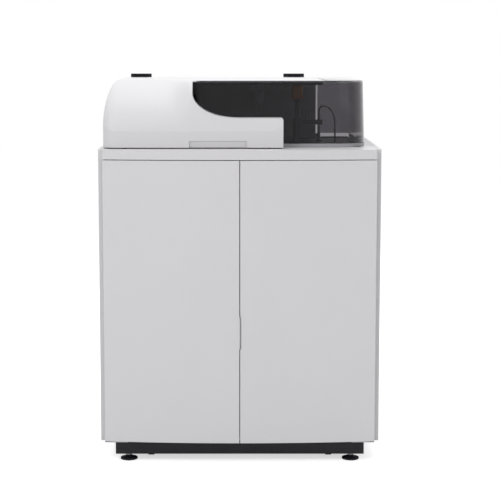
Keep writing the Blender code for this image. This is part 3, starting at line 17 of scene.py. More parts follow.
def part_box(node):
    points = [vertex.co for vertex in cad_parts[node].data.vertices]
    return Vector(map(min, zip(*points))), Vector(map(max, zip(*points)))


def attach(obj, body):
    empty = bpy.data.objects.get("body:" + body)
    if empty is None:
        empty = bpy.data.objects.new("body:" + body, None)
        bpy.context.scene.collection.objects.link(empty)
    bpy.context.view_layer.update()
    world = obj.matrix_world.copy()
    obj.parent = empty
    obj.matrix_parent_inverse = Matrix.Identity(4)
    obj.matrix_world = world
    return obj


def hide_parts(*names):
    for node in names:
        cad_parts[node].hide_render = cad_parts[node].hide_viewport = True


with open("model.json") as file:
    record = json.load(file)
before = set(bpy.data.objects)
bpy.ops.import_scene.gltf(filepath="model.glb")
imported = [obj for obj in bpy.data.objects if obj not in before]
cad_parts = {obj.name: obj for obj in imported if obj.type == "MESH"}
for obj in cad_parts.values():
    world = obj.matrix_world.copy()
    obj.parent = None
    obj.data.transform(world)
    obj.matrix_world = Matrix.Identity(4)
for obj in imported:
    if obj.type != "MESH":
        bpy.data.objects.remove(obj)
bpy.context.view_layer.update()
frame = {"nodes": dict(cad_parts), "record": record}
MM = 0.001

# %% [markdown]
# ## Camera
# The photograph is a frontal product picture: upright lines stay almost parallel, and the worktop is seen
# from a little above. A long lens at nearly five metres gives both. The numbers come from fitting about
# thirty corners of the object, so the render and the photograph can be laid over each other.

# %% Make the camera
CAMERA_PLACE = (0.0, -4.875, 1.2846)
CAMERA_DOWN = 0.1182                       # radians below the horizon
LENS = 106.93                              # mm, on a sensor 36 mm wide
camera_data = bpy.data.cameras.new("camera")
camera_data.lens = LENS
camera_data.shift_x = 0.0205
camera_data.shift_y = -0.05
camera = bpy.data.objects.new("camera", camera_data)
camera.location = CAMERA_PLACE
camera.rotation_euler = (math.pi / 2 - CAMERA_DOWN, 0.0, 0.0)
bpy.context.scene.collection.objects.link(camera)
bpy.context.scene.camera = camera
bpy.context.scene.view_settings.view_transform = "Standard"

# %% [markdown]
# ## Materials
# Paint, moulded plastic and rubber differ less in colour than in how they break up light. So every finish
# starts from a real gloss, and gets a fine grain as bump and a faint unevenness in its colour. An image
# texture could hold that too, but noise in object coordinates has no seams and keeps its size in
# millimetres on every piece.

# %% Helpers for materials
def linear(hex_colour):
    """An sRGB hex colour as linear red, green, blue and alpha."""
    parts = [int(hex_colour[i : i + 2], 16) / 255 for i in (1, 3, 5)]
    return (*[c / 12.92 if c <= 0.04045 else ((c + 0.055) / 1.055) ** 2.4 for c in parts], 1.0)


def add_node(material, kind, inputs=None, **settings):
    """Adds a node. An input is a value, or a socket to link."""
    tree = material.node_tree
    node = tree.nodes.new(kind)
    for name, value in settings.items():
        setattr(node, name, value)
    for name, value in (inputs or {}).items():
        if isinstance(value, bpy.types.NodeSocket):
            tree.links.new(value, node.inputs[name])
        else:
            node.inputs[name].default_value = value
    return node


def new_finish(name, colour, roughness, metallic=0.0, ior=1.5):
    """A Principled material with its constants on the shader's own sockets."""
    material = bpy.data.materials.new(name)
    material.use_nodes = True
    shader = material.node_tree.nodes["Principled BSDF"]
    shader.inputs["Base Color"].default_value = linear(colour)
    shader.inputs["Roughness"].default_value = roughness
    shader.inputs["Metallic"].default_value = metallic
    if not metallic:
        shader.inputs["IOR"].default_value = ior
    material.diffuse_color = linear(colour)
    return material


def grain(material, size, depth, stretch=(1.0, 1.0, 1.0)):
    """Bump in grains of a size and depth in metres; stretch lengthens them, as brushing does."""
    shader = material.node_tree.nodes["Principled BSDF"]
    place = add_node(material, "ShaderNodeTexCoord").outputs["Object"]
    scale = tuple(1.0 / s for s in stretch)
    turned = add_node(material, "ShaderNodeMapping", {"Vector": place, "Scale": scale})
    noise = add_node(
        material, "ShaderNodeTexNoise", {"Vector": turned.outputs[0], "Scale": 1.0 / size, "Detail": 3.0}
    )
    bump = add_node(material, "ShaderNodeBump", {"Height": noise.outputs[0], "Distance": depth})
    material.node_tree.links.new(bump.outputs[0], shader.inputs["Normal"])


def uneven(material, other, size, gloss=0.0):
    """Drifts softly between the base colour and another, over patches of a size in metres."""
    shader = material.node_tree.nodes["Principled BSDF"]
    place = add_node(material, "ShaderNodeTexCoord").outputs["Object"]
    noise = add_node(material, "ShaderNodeTexNoise", {"Vector": place, "Scale": 1.0 / size, "Detail": 2.0})
    base = tuple(shader.inputs["Base Color"].default_value)
    mix = add_node(material, "ShaderNodeMix", data_type="RGBA")
    mix.inputs[6].default_value = base
    mix.inputs[7].default_value = linear(other)
    links = material.node_tree.links
    links.new(noise.outputs[0], mix.inputs[0])
    links.new(mix.outputs[2], shader.inputs["Base Color"])
    if gloss:
        rough = shader.inputs["Roughness"].default_value
        spread = {"Value": noise.outputs[0], "To Min": rough - gloss, "To Max": rough + gloss}
        ranged = add_node(material, "ShaderNodeMapRange", spread)
        links.new(ranged.outputs[0], shader.inputs["Roughness"])


# %% [markdown]
# ### Paints and mouldings
# The cabinet is sheet steel under an electrostatic powder coat, baked until it flows: a satin skin with a
# shallow orange peel. The hood is vacuum-formed or moulded ABS, smoother and a little glossier. A real
# orange peel has cells of 1 to 2 mm, too fine for this picture, so it is drawn at 5 mm and kept shallow.

# %% Powder coats and moulded plastics
finishes = {}
finishes["white_powder_coat"] = new_finish("white_powder_coat", "#d3d2d4", 0.42)
grain(finishes["white_powder_coat"], 5.0 * MM, 0.05 * MM)
uneven(finishes["white_powder_coat"], "#cfced0", 260 * MM, 0.04)
finishes["white_moulding"] = new_finish("white_moulding", "#d3d2d4", 0.36)
grain(finishes["white_moulding"], 9.0 * MM, 0.04 * MM)
uneven(finishes["white_moulding"], "#cfced0", 300 * MM, 0.04)
finishes["black_powder_coat"] = new_finish("black_powder_coat", "#17161d", 0.52)
grain(finishes["black_powder_coat"], 3.0 * MM, 0.08 * MM)
uneven(finishes["black_powder_coat"], "#121218", 60 * MM, 0.06)
finishes["dark_grey_plastic"] = new_finish("dark_grey_plastic", "#727176", 0.46)
grain(finishes["dark_grey_plastic"], 2.5 * MM, 0.08 * MM)
uneven(finishes["dark_grey_plastic"], "#6a696e", 50 * MM, 0.05)
finishes["grey_plastic"] = new_finish("grey_plastic", "#9c9ca0", 0.40)
grain(finishes["grey_plastic"], 3.0 * MM, 0.06 * MM)
uneven(finishes["grey_plastic"], "#959599", 60 * MM, 0.04)
CAP_COLOURS = (("blue_plastic", "#2f63a8", "#2a5a9c"), ("red_plastic", "#a8302c", "#9a2a27"))
for cap_finish, colour, other in CAP_COLOURS:
    finishes[cap_finish] = new_finish(cap_finish, colour, 0.38)
    grain(finishes[cap_finish], 3.0 * MM, 0.05 * MM)
    uneven(finishes[cap_finish], other, 30 * MM, 0.04)
print(len(finishes), "paints and mouldings")

# %% [markdown]
# ### Rubber and polyurethane
# Feet, bumpers and seals are black rubber with a dull, slightly dusty skin. The caster tyres are cast
# polyurethane, reddish brown and a little shinier. Rubber is never pure black: dust in its grain lifts it.

# %% Rubber and tyres
finishes["black_rubber"] = new_finish("black_rubber", "#17171d", 0.62)
grain(finishes["black_rubber"], 1.6 * MM, 0.10 * MM)
uneven(finishes["black_rubber"], "#22222a", 18 * MM, 0.08)
finishes["brown_polyurethane"] = new_finish("brown_polyurethane", "#5a3038", 0.45)
grain(finishes["brown_polyurethane"], 2.0 * MM, 0.06 * MM)
uneven(finishes["brown_polyurethane"], "#4d2a31", 14 * MM, 0.08)
print("rubber finishes:", [name for name in finishes if "rubber" in name or "poly" in name])

# %% [markdown]
# ### Metals
# Zinc plate is a matt, slightly cloudy grey. The power supply's case is plain rolled aluminium, and the
# needles and the wash post are drawn stainless steel, whose polishing lines run along the rod. Stretching
# the noise along Z gives such lines without a texture image.

# %% Metals
finishes["zinc_plate"] = new_finish("zinc_plate", "#b9bbbd", 0.36, metallic=1.0)
grain(finishes["zinc_plate"], 4.0 * MM, 0.04 * MM)
uneven(finishes["zinc_plate"], "#a3a5a8", 12 * MM, 0.10)
finishes["aluminium_case"] = new_finish("aluminium_case", "#c3c4c6", 0.40, metallic=1.0)
grain(finishes["aluminium_case"], 2.0 * MM, 0.03 * MM, stretch=(1.0, 30.0, 1.0))
uneven(finishes["aluminium_case"], "#b6b7ba", 40 * MM, 0.06)
finishes["stainless_steel"] = new_finish("stainless_steel", "#c9cacb", 0.24, metallic=1.0)
grain(finishes["stainless_steel"], 1.0 * MM, 0.02 * MM, stretch=(1.0, 1.0, 40.0))
uneven(finishes["stainless_steel"], "#bdbec0", 10 * MM, 0.05)
print("metals:", list(finishes)[-3:])

# %% [markdown]
# ### Clear and milky plastics
# The cover is formed acrylic with a grey dye. It has a true thickness, so light is dyed once through each
# wall and mirrors at its skin as acrylic does, at an IOR of 1.49. A mix with a transparent shader would be
# quicker, but its edges would not bend what lies behind. Polyethylene tanks glow a little inside instead:
# a shallow subsurface gives that.

# %% Clear and milky plastics
finishes["smoked_acrylic"] = new_finish("smoked_acrylic", "#878589", 0.015, ior=1.49)
smoked = finishes["smoked_acrylic"].node_tree.nodes["Principled BSDF"]
smoked.inputs["Transmission Weight"].default_value = 1.0
grain(finishes["smoked_acrylic"], 120 * MM, 0.06 * MM)
finishes["clear_tube"] = new_finish("clear_tube", "#dfe3e4", 0.12, ior=1.45)
clear = finishes["clear_tube"].node_tree.nodes["Principled BSDF"]
clear.inputs["Transmission Weight"].default_value = 0.55
grain(finishes["clear_tube"], 3.0 * MM, 0.03 * MM)
finishes["amber_plastic"] = new_finish("amber_plastic", "#f29a2e", 0.30)
grain(finishes["amber_plastic"], 3.0 * MM, 0.05 * MM)
uneven(finishes["amber_plastic"], "#e08a26", 30 * MM, 0.05)
finishes["natural_polyethylene"] = new_finish("natural_polyethylene", "#dcdcd6", 0.42)
milky = finishes["natural_polyethylene"].node_tree.nodes["Principled BSDF"]
milky.inputs["Subsurface Weight"].default_value = 0.35
milky.inputs["Subsurface Scale"].default_value = 4 * MM
grain(finishes["natural_polyethylene"], 4.0 * MM, 0.10 * MM)
uneven(finishes["natural_polyethylene"], "#d2d2ca", 60 * MM, 0.05)
record_slots = {entry["slot"] for entry in frame["record"]["materials"]}
print("finishes without a slot in the record:", sorted(set(finishes) - record_slots))

# %% [markdown]
# ## Helpers for shapes
# A finished piece is a mesh whose object stays at the origin. It rides on the body of the node that it
# stands for, and takes the node's slot. Sheet edges and mouldings are never knife sharp, so most pieces
# get a live bevel: two segments are enough for a highlight, and hardened normals keep the flats flat.

# %% Put a piece in the scene
slot_of = {entry["node"]: entry["material_slot"] for entry in frame["record"]["subparts"]}
body_of = {}
for body_name, members in frame["record"]["behaviour"]["bodies"].items():
    for member in members:
        body_of[member] = body_name


def put(name, bm, slot, body, edge=0.0, wall=0.0, sharp_angle=34):
    """Makes the bmesh an object: wall gives it a thickness inwards, edge rounds its sharp edges."""
    mesh = bpy.data.meshes.new(name)
    bm.to_mesh(mesh)
    bm.free()
    if "custom_normal" in mesh.attributes:
        mesh.attributes.remove(mesh.attributes["custom_normal"])
    mesh.materials.clear()
    mesh.materials.append(finishes[slot])
    mesh.shade_smooth()
    obj = bpy.data.objects.new(name, mesh)
    bpy.context.scene.collection.objects.link(obj)
    if wall:
        solidify = obj.modifiers.new("wall", "SOLIDIFY")
        solidify.thickness = wall
        solidify.offset = -1.0
        solidify.use_even_offset = True
    if edge:
        bevel = obj.modifiers.new("rounded_edges", "BEVEL")
        bevel.width = edge
        bevel.segments = 2
        bevel.limit_method = "ANGLE"
        bevel.angle_limit = math.radians(sharp_angle)
        bevel.harden_normals = True
    else:
        mesh.set_sharp_from_angle(angle=math.radians(sharp_angle))
    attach(obj, body)
    return obj


def merged_copy(node):
    """The node's mesh with its loose triangles joined, and its flat faces made whole again."""
    bm = bmesh.new()
    bm.from_mesh(frame["nodes"][node].data)
    bmesh.ops.remove_doubles(bm, verts=bm.verts, dist=0.01 * MM)
    flat = math.radians(0.4)
    bmesh.ops.dissolve_limit(bm, angle_limit=flat, verts=bm.verts, edges=bm.edges)
    return bm


def dress(node, edge):
    """Stands a copy with rounded edges in for a node."""
    obj = put(f"{node}_finished", merged_copy(node), slot_of[node], body_of[node], edge)
    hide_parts(node)


# %% [markdown]
# ## Cabinet, base and deck
# These nodes have the right shape already. What a plain solid lacks is the small radius of every folded
# sheet and moulded lip, so each one is stood in for by a copy with its own edge radius: under a millimetre
# on folded steel, more on mouldings and tanks. Nodes too thin or too small for that keep their mesh and
# only get their material.

# %% Round the edges of the plain nodes
EDGE_RADIUS = {                            # mm
    "left_door": 0.6,
    "right_door": 0.6,
    "left_door_pull": 0.6,
    "side_panel_left": 0.6,
    "side_panel_right": 0.6,
    "worktop": 1.2,
    "rear_panel": 0.4,
    "centre_partition": 0.5,
    "cabinet_floor": 0.8,
    "base_frame": 1.5,
    "instrument_deck": 1.0,
    "lid_upright": 1.2,
    "roof_seal": 1.5,
    "lid_hinge_bracket_left": 0.5,
    "lid_hinge_bracket_right": 0.5,
    "lid_hinge_knuckle_left": 0.5,
    "lid_hinge_knuckle_right": 0.5,
    "power_supply": 0.8,
    "power_inlet": 0.5,
    "rocker_switch": 0.4,
    "fluid_pump": 1.5,
    "water_tank": 4.0,
    "waste_tank": 4.0,
    "detergent_bottle": 3.0,
    "reaction_disk": 0.5,
    "reagent_disk": 0.6,
    "probe_arm": 2.0,
    "probe_collar": 1.0,
    "mixer_arm": 1.0,
    "mixer_cap": 1.5,
    "mixer_collar": 1.0,
    "wash_head": 1.0,
}
CORNERS = ("front_left", "front_right", "back_left", "back_right")
for place in CORNERS:
    EDGE_RADIUS[f"caster_fork_{place}"] = 0.5
    EDGE_RADIUS[f"caster_wheel_{place}"] = 1.0
for node_name, radius in EDGE_RADIUS.items():
    dress(node_name, radius * MM)
print(len(EDGE_RADIUS), "nodes have rounded edges")

# %% [markdown]
# ## Deck rim
# The rim is a grey rail that the cover closes on. In the photograph a bright slit shows behind it at the
# right: the cover's back wall ends above the worktop there, with no rail under it. So the CAD node's copy
# loses that stretch, between two cuts, and its ends are closed again.

# %% Open the rim at the back
RIM_OPEN = (0.280, 0.330)                  # x and y past which the rail is left out
bm = merged_copy("deck_rim")
for cut_at, normal in (((RIM_OPEN[0], 0, 0), (1, 0, 0)), ((0, RIM_OPEN[1], 0), (0, 1, 0))):
    everything = list(bm.verts) + list(bm.edges) + list(bm.faces)
    bmesh.ops.bisect_plane(bm, geom=everything, dist=0.001 * MM, plane_co=cut_at, plane_no=normal)
behind = []
for face in bm.faces:
    middle = face.calc_center_bounds()
    if middle.x > RIM_OPEN[0] and middle.y > RIM_OPEN[1]:
        behind.append(face)
bmesh.ops.delete(bm, geom=behind, context="FACES")
bmesh.ops.holes_fill(bm, edges=[edge for edge in bm.edges if edge.is_boundary], sides=0)
bmesh.ops.recalc_face_normals(bm, faces=bm.faces)
rim = put("deck_rim_finished", bm, "grey_plastic", body_of["deck_rim"], 1.2 * MM)
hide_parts("deck_rim")
print("rim faces:", len(rim.data.polygons))

# %% [markdown]
# ## Levelling feet
# Each foot is a rubber-covered disc on a screw. The disc's rim is rounded and its top dished up to a neck,
# on which a hexagonal nut takes the spanner. It is a turned shape, so one profile is spun round its axis,
# and only the nut is a six-sided prism. The screw has rings instead of a helix: at this size they read as
# a thread, and they need no seam.

# %% Helper: turned shapes
def spin(profile, centre, steps=32):
    """A profile of (radius, height) pairs, from axis to axis, turned round the upright line at centre."""
    bm = bmesh.new()
    path = [bm.verts.new((centre[0] + radius, centre[1], height)) for radius, height in profile]
    edges = [bm.edges.new(pair) for pair in zip(path, path[1:])]
    bmesh.ops.spin(
        bm, geom=path + edges, cent=(centre[0], centre[1], 0), axis=(0, 0, 1),
        angle=2 * math.pi, steps=steps, use_merge=True,
    )
    bmesh.ops.remove_doubles(bm, verts=bm.verts, dist=0.005 * MM)
    bmesh.ops.recalc_face_normals(bm, faces=bm.faces)
    return bm


# %% [markdown]
# ### From disc to screw
# The profile starts on the axis at the floor, goes round the disc's rim, up its dished top to the neck, and
# then zigzags up the screw once per thread ring. The disc's width and the screw's end come from the node's
# box, so the foot still meets the frame and the floor.

# %% Turn the four feet
SCREW = 6 * MM                             # the thread's outer radius
SCREW_ROOT = 5.2 * MM                      # and its radius between two rings
PITCH = 1.5 * MM
NECK = 10 * MM
NECK_TOP = 13.5 * MM
NUT = 10.5 * MM                            # radius over the nut's corners
NUT_LOW, NUT_HIGH = 14.2 * MM, 20.5 * MM
for corner in CORNERS:
    node_name = f"levelling_foot_{corner}"
    low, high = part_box(node_name)
    x, y = (low.x + high.x) / 2, (low.y + high.y) / 2
    disc = (high.x - low.x) / 2
    profile = [(0, 0), (disc - 2 * MM, 0), (disc - 0.5 * MM, 0.6 * MM), (disc, 2 * MM)]
    profile += [(disc, 4.2 * MM), (disc - 0.6 * MM, 5.4 * MM), (disc - 2 * MM, 6 * MM)]
    profile += [(15 * MM, 7.2 * MM), (12 * MM, 8.4 * MM)]
    profile += [(NECK, 11 * MM), (NECK, 13 * MM), (SCREW, NECK_TOP)]
    ring = NECK_TOP
    while ring < high.z - 2 * PITCH:
        profile += [(SCREW, ring + 0.4 * MM), (SCREW_ROOT, ring + 0.9 * MM), (SCREW, ring + 1.4 * MM)]
        ring += PITCH
    profile += [(SCREW, high.z - 1 * MM), (SCREW - 1 * MM, high.z), (0, high.z)]
    foot = put(f"foot_{corner}", spin(profile, (x, y)), "black_rubber", body_of[node_name])
    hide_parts(node_name)
    bm = bmesh.new()
    middle = Matrix.Translation((x, y, (NUT_LOW + NUT_HIGH) / 2))
    bmesh.ops.create_cone(
        bm, cap_ends=True, segments=6, radius1=NUT, radius2=NUT, depth=NUT_HIGH - NUT_LOW, matrix=middle
    )
    put(f"foot_nut_{corner}", bm, "zinc_plate", body_of[node_name], 0.6 * MM)
print("feet:", [round(side / MM, 1) for side in high - low], "mm")

# %% [markdown]
# ## A sheet raised row by row
# The hood and the smoked cover are shells: a plan outline that rises, leans and rounds over. We could loft
# them by listing every face, but an edge path that is extruded again and again keeps its columns by itself.
# Each row says where the columns go next, and a shorter row lets the last columns stop.

# %% Raise a sheet through rows of points
def raise_sheet(bm, rows):
    """Extrudes a path of edges through the rows; returns the vertices of each row."""
    grid = [[bm.verts.new(point) for point in rows[0]]]
    for pair in zip(grid[0], grid[0][1:]):
        bm.edges.new(pair)
    for row in rows[1:]:
        below = grid[-1][: len(row)]
        edges = [bm.edges.get(pair) for pair in zip(below, below[1:])]
        grown = bmesh.ops.extrude_edge_only(bm, edges=edges)["geom"]
        above = {}
        for vert in grown:
            if isinstance(vert, bmesh.types.BMVert):
                for edge in vert.link_edges:
                    if edge.other_vert(vert) in below:
                        above[edge.other_vert(vert)] = vert
        grid.append([above[vert] for vert in below])
        for vert, point in zip(grid[-1], row):
            vert.co = point
    return grid


def extrude_to(bm, edges, move):
    """Extrudes edges once and gives each new vertex the place that move works out from its old one."""
    grown = bmesh.ops.extrude_edge_only(bm, edges=edges)["geom"]
    for vert in grown:
        if isinstance(vert, bmesh.types.BMVert):
            vert.co = move(vert.co)


def fill(bm, verts):
    """One flat face through vertices in order."""
    for pair in zip(verts, verts[1:] + verts[:1]):
        if bm.edges.get(pair) is None:
            bm.edges.new(pair)
    bmesh.ops.contextual_create(bm, geom=[bm.edges.get(pair) for pair in zip(verts, verts[1:] + verts[:1])])


def face_outwards(bm):
    """Makes all normals agree, with the highest face looking up."""
    bmesh.ops.remove_doubles(bm, verts=bm.verts, dist=0.01 * MM)
    bmesh.ops.recalc_face_normals(bm, faces=bm.faces)
    highest = max(bm.faces, key=lambda face: face.calc_center_median().z)
    if highest.normal.z < 0:
        bmesh.ops.reverse_faces(bm, faces=bm.faces)


# %% [markdown]
# ## Hood
# The real hood is one white moulding. Its skirt stands upright, then a crease starts a face that leans back
# and rolls over into the flat roof. On the left it reaches the roof; on the right the front is cut down to
# a low sill, in one sweep, so that the smoked cover can be seen. The crease climbs a little at both ends,
# which is what makes it look pressed and not drawn. A subdivision surface would blur crease and window
# edge, so the rows follow the section instead: dense where it bends, wide where it is straight.

# %% The hood's section and window
HOOD_LOW, HOOD_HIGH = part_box("hood")
HOOD_WALL = 4 * MM
ROOF = HOOD_HIGH.z
CREASE = HOOD_LOW.z + 50 * MM
CREASE_RISE = 20 * MM                      # how far the crease climbs at the hood's two ends
HOOD_LEAN = math.tan(math.radians(10))
CROWN_SIDE = 35 * MM                       # how far the crown runs in from the side
CROWN_DEPTH = 210 * MM                     # and from the front, where nothing hinders it
STRIP_DEPTH = 81 * MM                      # and at the window, where the roof comes further forward
BLEND = 86 * MM                            # width over which one turns into the other
GRIP_TOP = HOOD_LOW.z + 21 * MM
GRIP_X = (-0.156, 0.022)
GRIP_DEPTHS = (3 * MM, 8 * MM)             # at the top and at the bottom of the recess
HOOD_REAR = 0.3395                         # y at which the left side ends
WINDOW_LEFT = -0.1465
SWEEP_TOP = ROOF - 37.5 * MM               # below it the window's edge starts to sweep to the right
SILL_TOP = HOOD_LOW.z + 90 * MM
SILL_RIGHT = 0.134
SILL_CORNER = 6 * MM                       # radius of the sill's upper right corner
RETURN_TO = -0.2406                        # the sill's top runs back to the smoked cover's front
SIDE_RETURN_TO = -0.2070                   # and the window's left side along the cover's own left side


def smooth(t):
    """Eases from 0 to 1, and holds there beyond."""
    t = min(max(t, 0.0), 1.0)
    return t * t * (3 - 2 * t)


def hood_section(z, crease, x):
    """The hood's left side, front and corner radius at a height; x sets how deep the crown is there."""
    share = min(max((z - crease) / (ROOF - crease), 0.0), 1.0)
    crown = 1 - (1 - share**2) ** 0.55
    lean = HOOD_LEAN * (ROOF - crease) * share * (1 - share) ** 2
    depth = CROWN_DEPTH + (STRIP_DEPTH - CROWN_DEPTH) * smooth((x - WINDOW_LEFT + BLEND) / BLEND)
    return HOOD_LOW.x + CROWN_SIDE * crown, HOOD_LOW.y + depth * crown + lean, 0.040 + 0.020 * share


def hood_point(column, height):
    """A column's point at a row: columns are at the side, round the corner, or at an x on the front."""
    kind, value, rise, top, limit = column
    crease = CREASE + rise
    if height <= GRIP_TOP:
        z = height
    elif height <= CREASE:
        z = GRIP_TOP + (crease - GRIP_TOP) * (height - GRIP_TOP) / (CREASE - GRIP_TOP)
    else:
        z = crease + (top - crease) * (height - CREASE) / (limit - CREASE)
    left, front, corner = hood_section(z, crease, value if kind == "front" else HOOD_LOW.x)
    if kind == "side":
        return (left, HOOD_REAR + (front + corner - HOOD_REAR) * value, z)
    if kind == "corner":
        return (left + corner * (1 + math.cos(value)), front + corner * (1 + math.sin(value)), z)
    return (value, front, z)


def bezier(points, t):
    """A point on a cubic curve."""
    weights = ((1 - t) ** 3, 3 * t * (1 - t) ** 2, 3 * t * t * (1 - t), t**3)
    return [sum(w * point[axis] for w, point in zip(weights, points)) for axis in (0, 1)]


# %% [markdown]
# ### Columns and rows
# A column says where it stands, how far the crease has climbed there, how high it goes, and which row's
# height stands for that top. Columns left of the window go up to the roof. Those under the window end on
# its lower edge: a cubic curve for the sweep, then the straight sill with its rounded corner. Columns
# stand close together where the plan or the edge bends.

# %% Columns of the hood
columns = [("side", step / 6, CREASE_RISE, ROOF, ROOF) for step in range(6)]
for step in range(11):
    angle = math.pi + math.pi / 2 * step / 10
    columns.append(("corner", angle, CREASE_RISE * smooth(1 - step / 10), ROOF, ROOF))
for x in (-0.290, *[WINDOW_LEFT - BLEND * (1 - step / 8) for step in range(8)], GRIP_X[0], WINDOW_LEFT):
    columns.append(("front", x, 0.0, ROOF, ROOF))
full_height = len(columns)
sweep = [(WINDOW_LEFT, SWEEP_TOP), (WINDOW_LEFT, 1.120), (-0.110, SILL_TOP), (0.0, SILL_TOP)]
window = [bezier(sweep, step / 14) for step in range(1, 15)]
window += [(x, SILL_TOP) for x in (GRIP_X[1], 0.060, 0.104, 0.112, 0.120, SILL_RIGHT - SILL_CORNER)]
for step in range(1, 5):
    angle = math.pi / 2 * (1 - step / 4)
    x = SILL_RIGHT - SILL_CORNER * (1 - math.cos(angle))
    window.append((x, SILL_TOP - SILL_CORNER * (1 - math.sin(angle))))
for x, top in window:
    rise = CREASE_RISE * 0.8 * smooth((x - 0.100) / (SILL_RIGHT - 0.100))
    columns.append(("front", x, rise, top, SWEEP_TOP))
rows = [HOOD_LOW.z, GRIP_TOP, 1.018, CREASE, 1.036, 1.044, 1.056]
rows += [1.072, 1.090, 1.108, 1.124, 1.137, SWEEP_TOP]
upper_rows = [1.156, 1.164, 1.171, 1.177, 1.1815, 1.1840, 1.1852, ROOF]
print("hood:", len(columns), "columns,", len(rows) + len(upper_rows), "rows")

# %% [markdown]
# ### Roof, turned edges and handle recess
# The roof is one flat face behind the last row. The window's edge is turned in, back to the smoked cover, so
# that no gap shows between the two. The recess is the low part of the front, pushed in as one region. It is
# open at the bottom, where fingers reach under to lift the lid.

# %% Raise the hood
bm = bmesh.new()
sheet_rows = [[hood_point(column, height) for column in columns] for height in rows]
sheet_rows += [[hood_point(column, height) for column in columns[:full_height]] for height in upper_rows]
grid = raise_sheet(bm, sheet_rows)
crease_row = grid[rows.index(CREASE)]
for edge_pair in zip(crease_row, crease_row[1:]):
    bm.edges.get(edge_pair).smooth = False
strip_right = bm.verts.new((HOOD_HIGH.x, grid[-1][-1].co.y, ROOF))
rear_right = bm.verts.new((HOOD_HIGH.x, HOOD_HIGH.y, ROOF))
rear_left = bm.verts.new((grid[-1][0].co.x, HOOD_HIGH.y, ROOF))
fill(bm, grid[-1] + [strip_right, rear_right, rear_left])
last = full_height - 1
turned_in = [row[last] for row in reversed(grid[len(rows) :])]
turned_in += grid[len(rows) - 1][last:] + [row[-1] for row in reversed(grid[: len(rows) - 1])]


def to_cover(place):
    """Where a point of the window's edge ends up when the edge is turned in."""
    on_left_side = place.x < WINDOW_LEFT + 0.1 * MM
    depth = SIDE_RETURN_TO if on_left_side else max(RETURN_TO, place.y + 3 * MM)
    return Vector((place.x, depth, place.z))


extrude_to(bm, [bm.edges.get(pair) for pair in zip(turned_in, turned_in[1:])], to_cover)

# %% Push in the handle recess
grip_faces = []
for face in bm.faces:
    middle = face.calc_center_median()
    if middle.z < GRIP_TOP and GRIP_X[0] < middle.x < GRIP_X[1] and middle.y < HOOD_LOW.y + 1 * MM:
        grip_faces.append(face)
pushed = bmesh.ops.extrude_face_region(bm, geom=grip_faces)["geom"]
for item in pushed:
    if isinstance(item, bmesh.types.BMVert):
        share = (GRIP_TOP - item.co.z) / (GRIP_TOP - HOOD_LOW.z)
        item.co.y += GRIP_DEPTHS[0] + (GRIP_DEPTHS[1] - GRIP_DEPTHS[0]) * share
under = [face for face in bm.faces if max(vert.co.z for vert in face.verts) < HOOD_LOW.z + 0.1 * MM]
bmesh.ops.delete(bm, geom=grip_faces + under, context="FACES_ONLY")
face_outwards(bm)
hood = put("hood_shell", bm, "white_moulding", "lid", edge=1.3 * MM, wall=HOOD_WALL)
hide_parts("hood")
print("hood faces:", len(hood.data.polygons))

# %% [markdown]
# ## Smoked cover
# The cover is one formed acrylic shell with a big round corner at the right, a small one at the left,
# and a soft lip along its top. It draws in by 6 mm towards the top so that it leaves its mould. Its wall
# has a real thickness: the double skin is what gives acrylic its darker edges.

# %% Raise the smoked cover
COVER_LOW, COVER_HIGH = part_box("smoked_cover")
COVER_WALL = 4 * MM
COVER_DRAFT = 6 * MM
COVER_LIP = 5 * MM
COVER_RADII = (30 * MM, 95 * MM, 20 * MM)  # front left, front right, rear right
COVER_ROOF_LEFT = 0.2636                   # x at which its roof starts, beside the hood's
COVER_REAR_LEFT = 0.2720                   # x at which its back wall ends
COVER_LEFT_REAR = SIDE_RETURN_TO           # y at which its short left side ends


def arc(x, y, radius, start, steps):
    """Points on a quarter circle from a start angle in degrees."""
    angles = [math.radians(start + 90 * step / steps) for step in range(steps + 1)]
    return [(x + radius * math.cos(angle), y + radius * math.sin(angle)) for angle in angles]


def cover_row(z, lip):
    """The cover's outline at a height; lip is how far its rounded top has come in there."""
    draft = COVER_DRAFT * (z - COVER_LOW.z) / (COVER_HIGH.z - COVER_LOW.z)
    left, right = COVER_LOW.x, COVER_HIGH.x - draft - lip
    front, rear = COVER_LOW.y + lip, COVER_HIGH.y - lip
    small, large, back = COVER_RADII
    outline = [(left, COVER_LEFT_REAR)]
    outline += arc(left + small, front + small, small, 180, 8)
    outline.append((COVER_ROOF_LEFT, front))
    outline += arc(right - large, front + large, large, 270, 18)
    outline += arc(right - back, rear - back, back, 0, 6)
    outline.append((COVER_REAR_LEFT, rear))
    return [(x, y, z) for x, y in outline]


levels = [(COVER_LOW.z, 0.0), (COVER_LOW.z + 3 * MM, 0.0), (1.09, 0.0)]
for step in range(6):
    angle = math.pi / 2 * step / 5
    levels.append((ROOF - COVER_LIP * (1 - math.sin(angle)), COVER_LIP * (1 - math.cos(angle))))
bm = bmesh.new()
grid = raise_sheet(bm, [cover_row(z, lip) for z, lip in levels])
top = grid[-1]
roof_start = next(index for index, vert in enumerate(top) if abs(vert.co.x - COVER_ROOF_LEFT) < 0.1 * MM)
roof_rear = bm.verts.new((COVER_ROOF_LEFT, top[-1].co.y, ROOF))
fill(bm, top[roof_start:] + [roof_rear])
face_outwards(bm)
cover = put("smoked_shell", bm, "smoked_acrylic", "lid", edge=0.8 * MM, wall=COVER_WALL, sharp_angle=50)
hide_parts("smoked_cover")
print("cover faces:", len(cover.data.polygons))

# %% [markdown]
# ## Small nodes
# Pins, caps, needles, the tube, the bumpers and the grille are shown as the CAD made them. Their mesh is
# already right, so they only take the finish of their slot. The nodes that a piece stands in for get it too,
# which keeps the two models alike.

